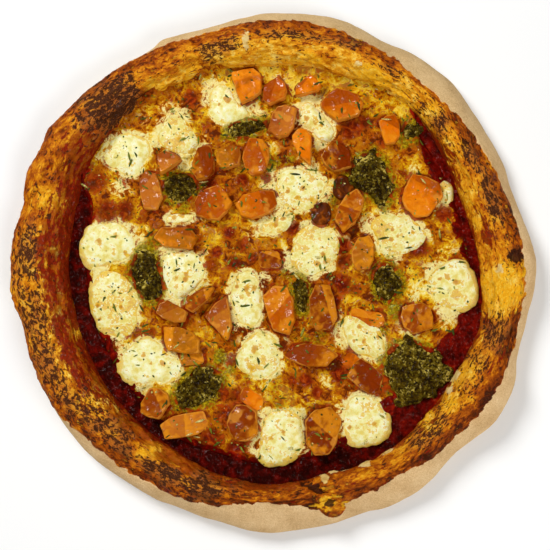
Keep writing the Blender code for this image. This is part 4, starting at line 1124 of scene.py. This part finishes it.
def scatter_tree(name, flake, material):
    """Spreads copies of the flake over a surface, turned anyhow, each with its own tone."""
    tree = bpy.data.node_groups.new(name, "GeometryNodeTree")
    tree.interface.new_socket(name="Geometry", in_out="INPUT", socket_type="NodeSocketGeometry")
    tree.interface.new_socket(name="Geometry", in_out="OUTPUT", socket_type="NodeSocketGeometry")
    sockets = {}
    for label in SCATTER_SIZES:
        kind = "NodeSocketInt" if label == "Seed" else "NodeSocketFloat"
        sockets[label] = tree.interface.new_socket(name=label, in_out="INPUT", socket_type=kind).identifier
    given = add_node(tree, "NodeGroupInput")
    keep = add_node(tree, "GeometryNodeInputNamedAttribute", {"Name": "keep"}, data_type="FLOAT")
    amount = add_node(tree, "ShaderNodeMath", {0: given["Per square metre"], 1: keep["Attribute"]},
                      operation="MULTIPLY")
    spread = add_node(tree, "GeometryNodeDistributePointsOnFaces",
                      {"Mesh": given["Geometry"], "Density": amount[0], "Seed": given["Seed"]})
    shape = add_node(tree, "GeometryNodeObjectInfo", {"Object": flake})
    length = add_node(tree, "FunctionNodeRandomValue",
                      {2: given["Shortest"], 3: given["Longest"], "Seed": 7})
    width = add_node(tree, "ShaderNodeMath", {0: length[1], 1: given["Width share"]}, operation="MULTIPLY")
    size = add_node(tree, "ShaderNodeCombineXYZ", {"X": length[1], "Y": width[0], "Z": width[0]})
    spin = add_node(tree, "FunctionNodeRandomValue",
                    {0: (-0.3, -0.3, -math.pi), 1: (0.3, 0.3, math.pi), "Seed": 3},
                    data_type="FLOAT_VECTOR")
    turn = add_node(tree, "FunctionNodeRotateRotation", {0: spread["Rotation"], 1: spin[0]},
                    rotation_space="LOCAL")
    place = add_node(tree, "GeometryNodeInstanceOnPoints",
                     {"Points": spread["Points"], "Instance": shape["Geometry"],
                      "Rotation": turn[0], "Scale": size[0]})
    tone = add_node(tree, "FunctionNodeRandomValue", {"Seed": 11})
    store = add_node(tree, "GeometryNodeStoreNamedAttribute",
                     {"Name": "tone", "Geometry": place["Instances"], "Value": tone[1]},
                     domain="INSTANCE")
    real = add_node(tree, "GeometryNodeRealizeInstances", {"Geometry": store["Geometry"]})
    dress = add_node(tree, "GeometryNodeSetMaterial", {"Material": material, "Geometry": real["Geometry"]})
    add_node(tree, "NodeGroupOutput", {0: dress["Geometry"]})
    return tree, sockets


def scatter(name, skin, keep, flake, material, *sizes):
    """One piece of scattered flakes on a skin, where keep is above 0."""
    ground_skin = bare(skin)
    ground_skin.values = {"keep": keep}
    ground = put(name + "_ground", make_mesh(name + "_ground", ground_skin))
    tree, sockets = scatter_tree(name, flake, material)
    modifier = ground.modifiers.new("scatter", "NODES")
    modifier.node_group = tree
    for label, value in zip(SCATTER_SIZES, sizes):
        modifier[sockets[label]] = value
    graph = bpy.context.evaluated_depsgraph_get()
    mesh = bpy.data.meshes.new_from_object(ground.evaluated_get(graph))
    bpy.data.objects.remove(ground)
    mesh.name = name
    mesh.shade_smooth()
    add_piece(name, mesh, material)


def facing_up(skin):
    """How far points face up, from 0 to 1, by the four-sided faces round them."""
    corners = skin.points[skin.quads]
    facing = np.cross(corners[:, 2] - corners[:, 0], corners[:, 3] - corners[:, 1])
    up = facing[:, 2] / np.maximum(np.linalg.norm(facing, axis=1), 1e-9)
    total = np.zeros(len(skin.points))
    np.add.at(total, skin.quads.ravel(), np.repeat(up, 4))
    return np.clip(total / 4, 0, 1)


def make_herbs(cheese, mozzarella, tomatoes, pesto, toppings):
    flake = put("flake", flake_mesh())
    dried, chopped = herb_finish(), chopped_finish()
    covered = nearest(toppings, cheese.points)
    open_cheese = smooth_step(covered, -0.5, 0.5) * (facing_up(cheese) > 0.6)
    tops = joined([bare(skin) for skin in (mozzarella, tomatoes)])
    ground = joined([bare(cheese), tops])
    clumps = smooth_step(layered(ground.points, 30.0, 211, 2), -0.6, 0.5)
    keep = np.concatenate([open_cheese, (facing_up(tops) > 0.75) * 0.8]) * (0.35 + 0.65 * clumps)
    scatter("herb_flakes", ground, keep, flake, dried, *HERB_FLAKES)
    scatter("herb_dust", ground, keep, flake, dried, *HERB_DUST)
    on_pesto = (facing_up(pesto) > 0.2) * 1.0
    scatter("pesto_leaves", pesto, on_pesto, flake, chopped, *PESTO_LEAVES)
    bpy.data.objects.remove(flake)


def bare(skin):
    """The same skin without its named values."""
    same = joined([skin])
    same.values = {}
    return same


# Stage

def make_stage():
    mesh = bpy.data.meshes.new("floor")
    half = FLOOR_SIDE / 2
    mesh.from_pydata([(-half, -half, 0), (half, -half, 0), (half, half, 0), (-half, half, 0)], [],
                     [(0, 1, 2, 3)])
    look = Finish("pale_floor")
    mesh.materials.append(look.finish(look.mix(look.noise(400, 2), *FLOOR_COLOURS), 0.7))
    put("floor", mesh)


def add_light(name, place, size, power):
    data = bpy.data.lights.new(name, "AREA")
    data.shape = "DISK"
    data.size = size
    data.energy = power
    lamp = put(name, data)
    lamp.location = place
    lamp.rotation_euler = (-Vector(place)).to_track_quat("-Z", "Y").to_euler()


def make_light():
    for lamp in LIGHTS:
        add_light(*lamp)
    world = bpy.data.worlds.new("studio")
    world.use_nodes = True
    background = world.node_tree.nodes["Background"]
    background.inputs["Color"].default_value = (1.0, 1.0, 1.0, 1.0)
    background.inputs["Strength"].default_value = SKY_STRENGTH
    bpy.context.scene.world = world
    bpy.context.scene.view_settings.view_transform = "Standard"


def make_camera():
    """The photo's view: almost from above, leaning a little towards the lower right."""
    azimuth, elevation = math.radians(CAMERA_AZIMUTH), math.radians(CAMERA_ELEVATION)
    back = Vector((math.sin(azimuth) * math.cos(elevation), -math.cos(azimuth) * math.cos(elevation),
                   math.sin(elevation)))
    right = Vector((0, 1, 0)).cross(back).normalized()
    turn = Matrix((right, back.cross(right), back)).transposed().to_4x4()
    data = bpy.data.cameras.new("camera")
    data.lens = CAMERA_LENS
    camera = put("camera", data)
    camera.matrix_world = Matrix.Translation(CAMERA_TARGET + back * CAMERA_DISTANCE) @ turn
    bpy.context.scene.camera = camera


def main():
    tomatoes = [Shape(f"tomato_{k:02d}") for k in range(1, TOMATO_COUNT + 1)]
    mozzarella = [Shape(f"mozzarella_{k:02d}") for k in range(1, MOZZARELLA_COUNT + 1)]
    pesto = [Shape(f"pesto_{k}") for k in range(1, PESTO_COUNT + 1)]
    morsels = [Morsel(*row) for row in SMALL_PIECES]
    chunks = [morsel for morsel in morsels if morsel.kind in TONES]
    tones = list(TOMATO_TONES) + [morsel.kind for morsel in chunks]
    tomatoes += chunks
    mozzarella += [morsel for morsel in morsels if morsel.kind == "mozzarella"]
    pesto += [morsel for morsel in morsels if morsel.kind == "pesto"]
    make_crust()
    make_sauce()
    skins = (make_cheese(tomatoes, mozzarella, pesto), make_mozzarella(mozzarella),
             make_tomatoes(tomatoes, tones), make_pesto(pesto))
    make_herbs(*skins, tomatoes + mozzarella + pesto)
    make_stage()
    make_light()
    make_camera()


main()
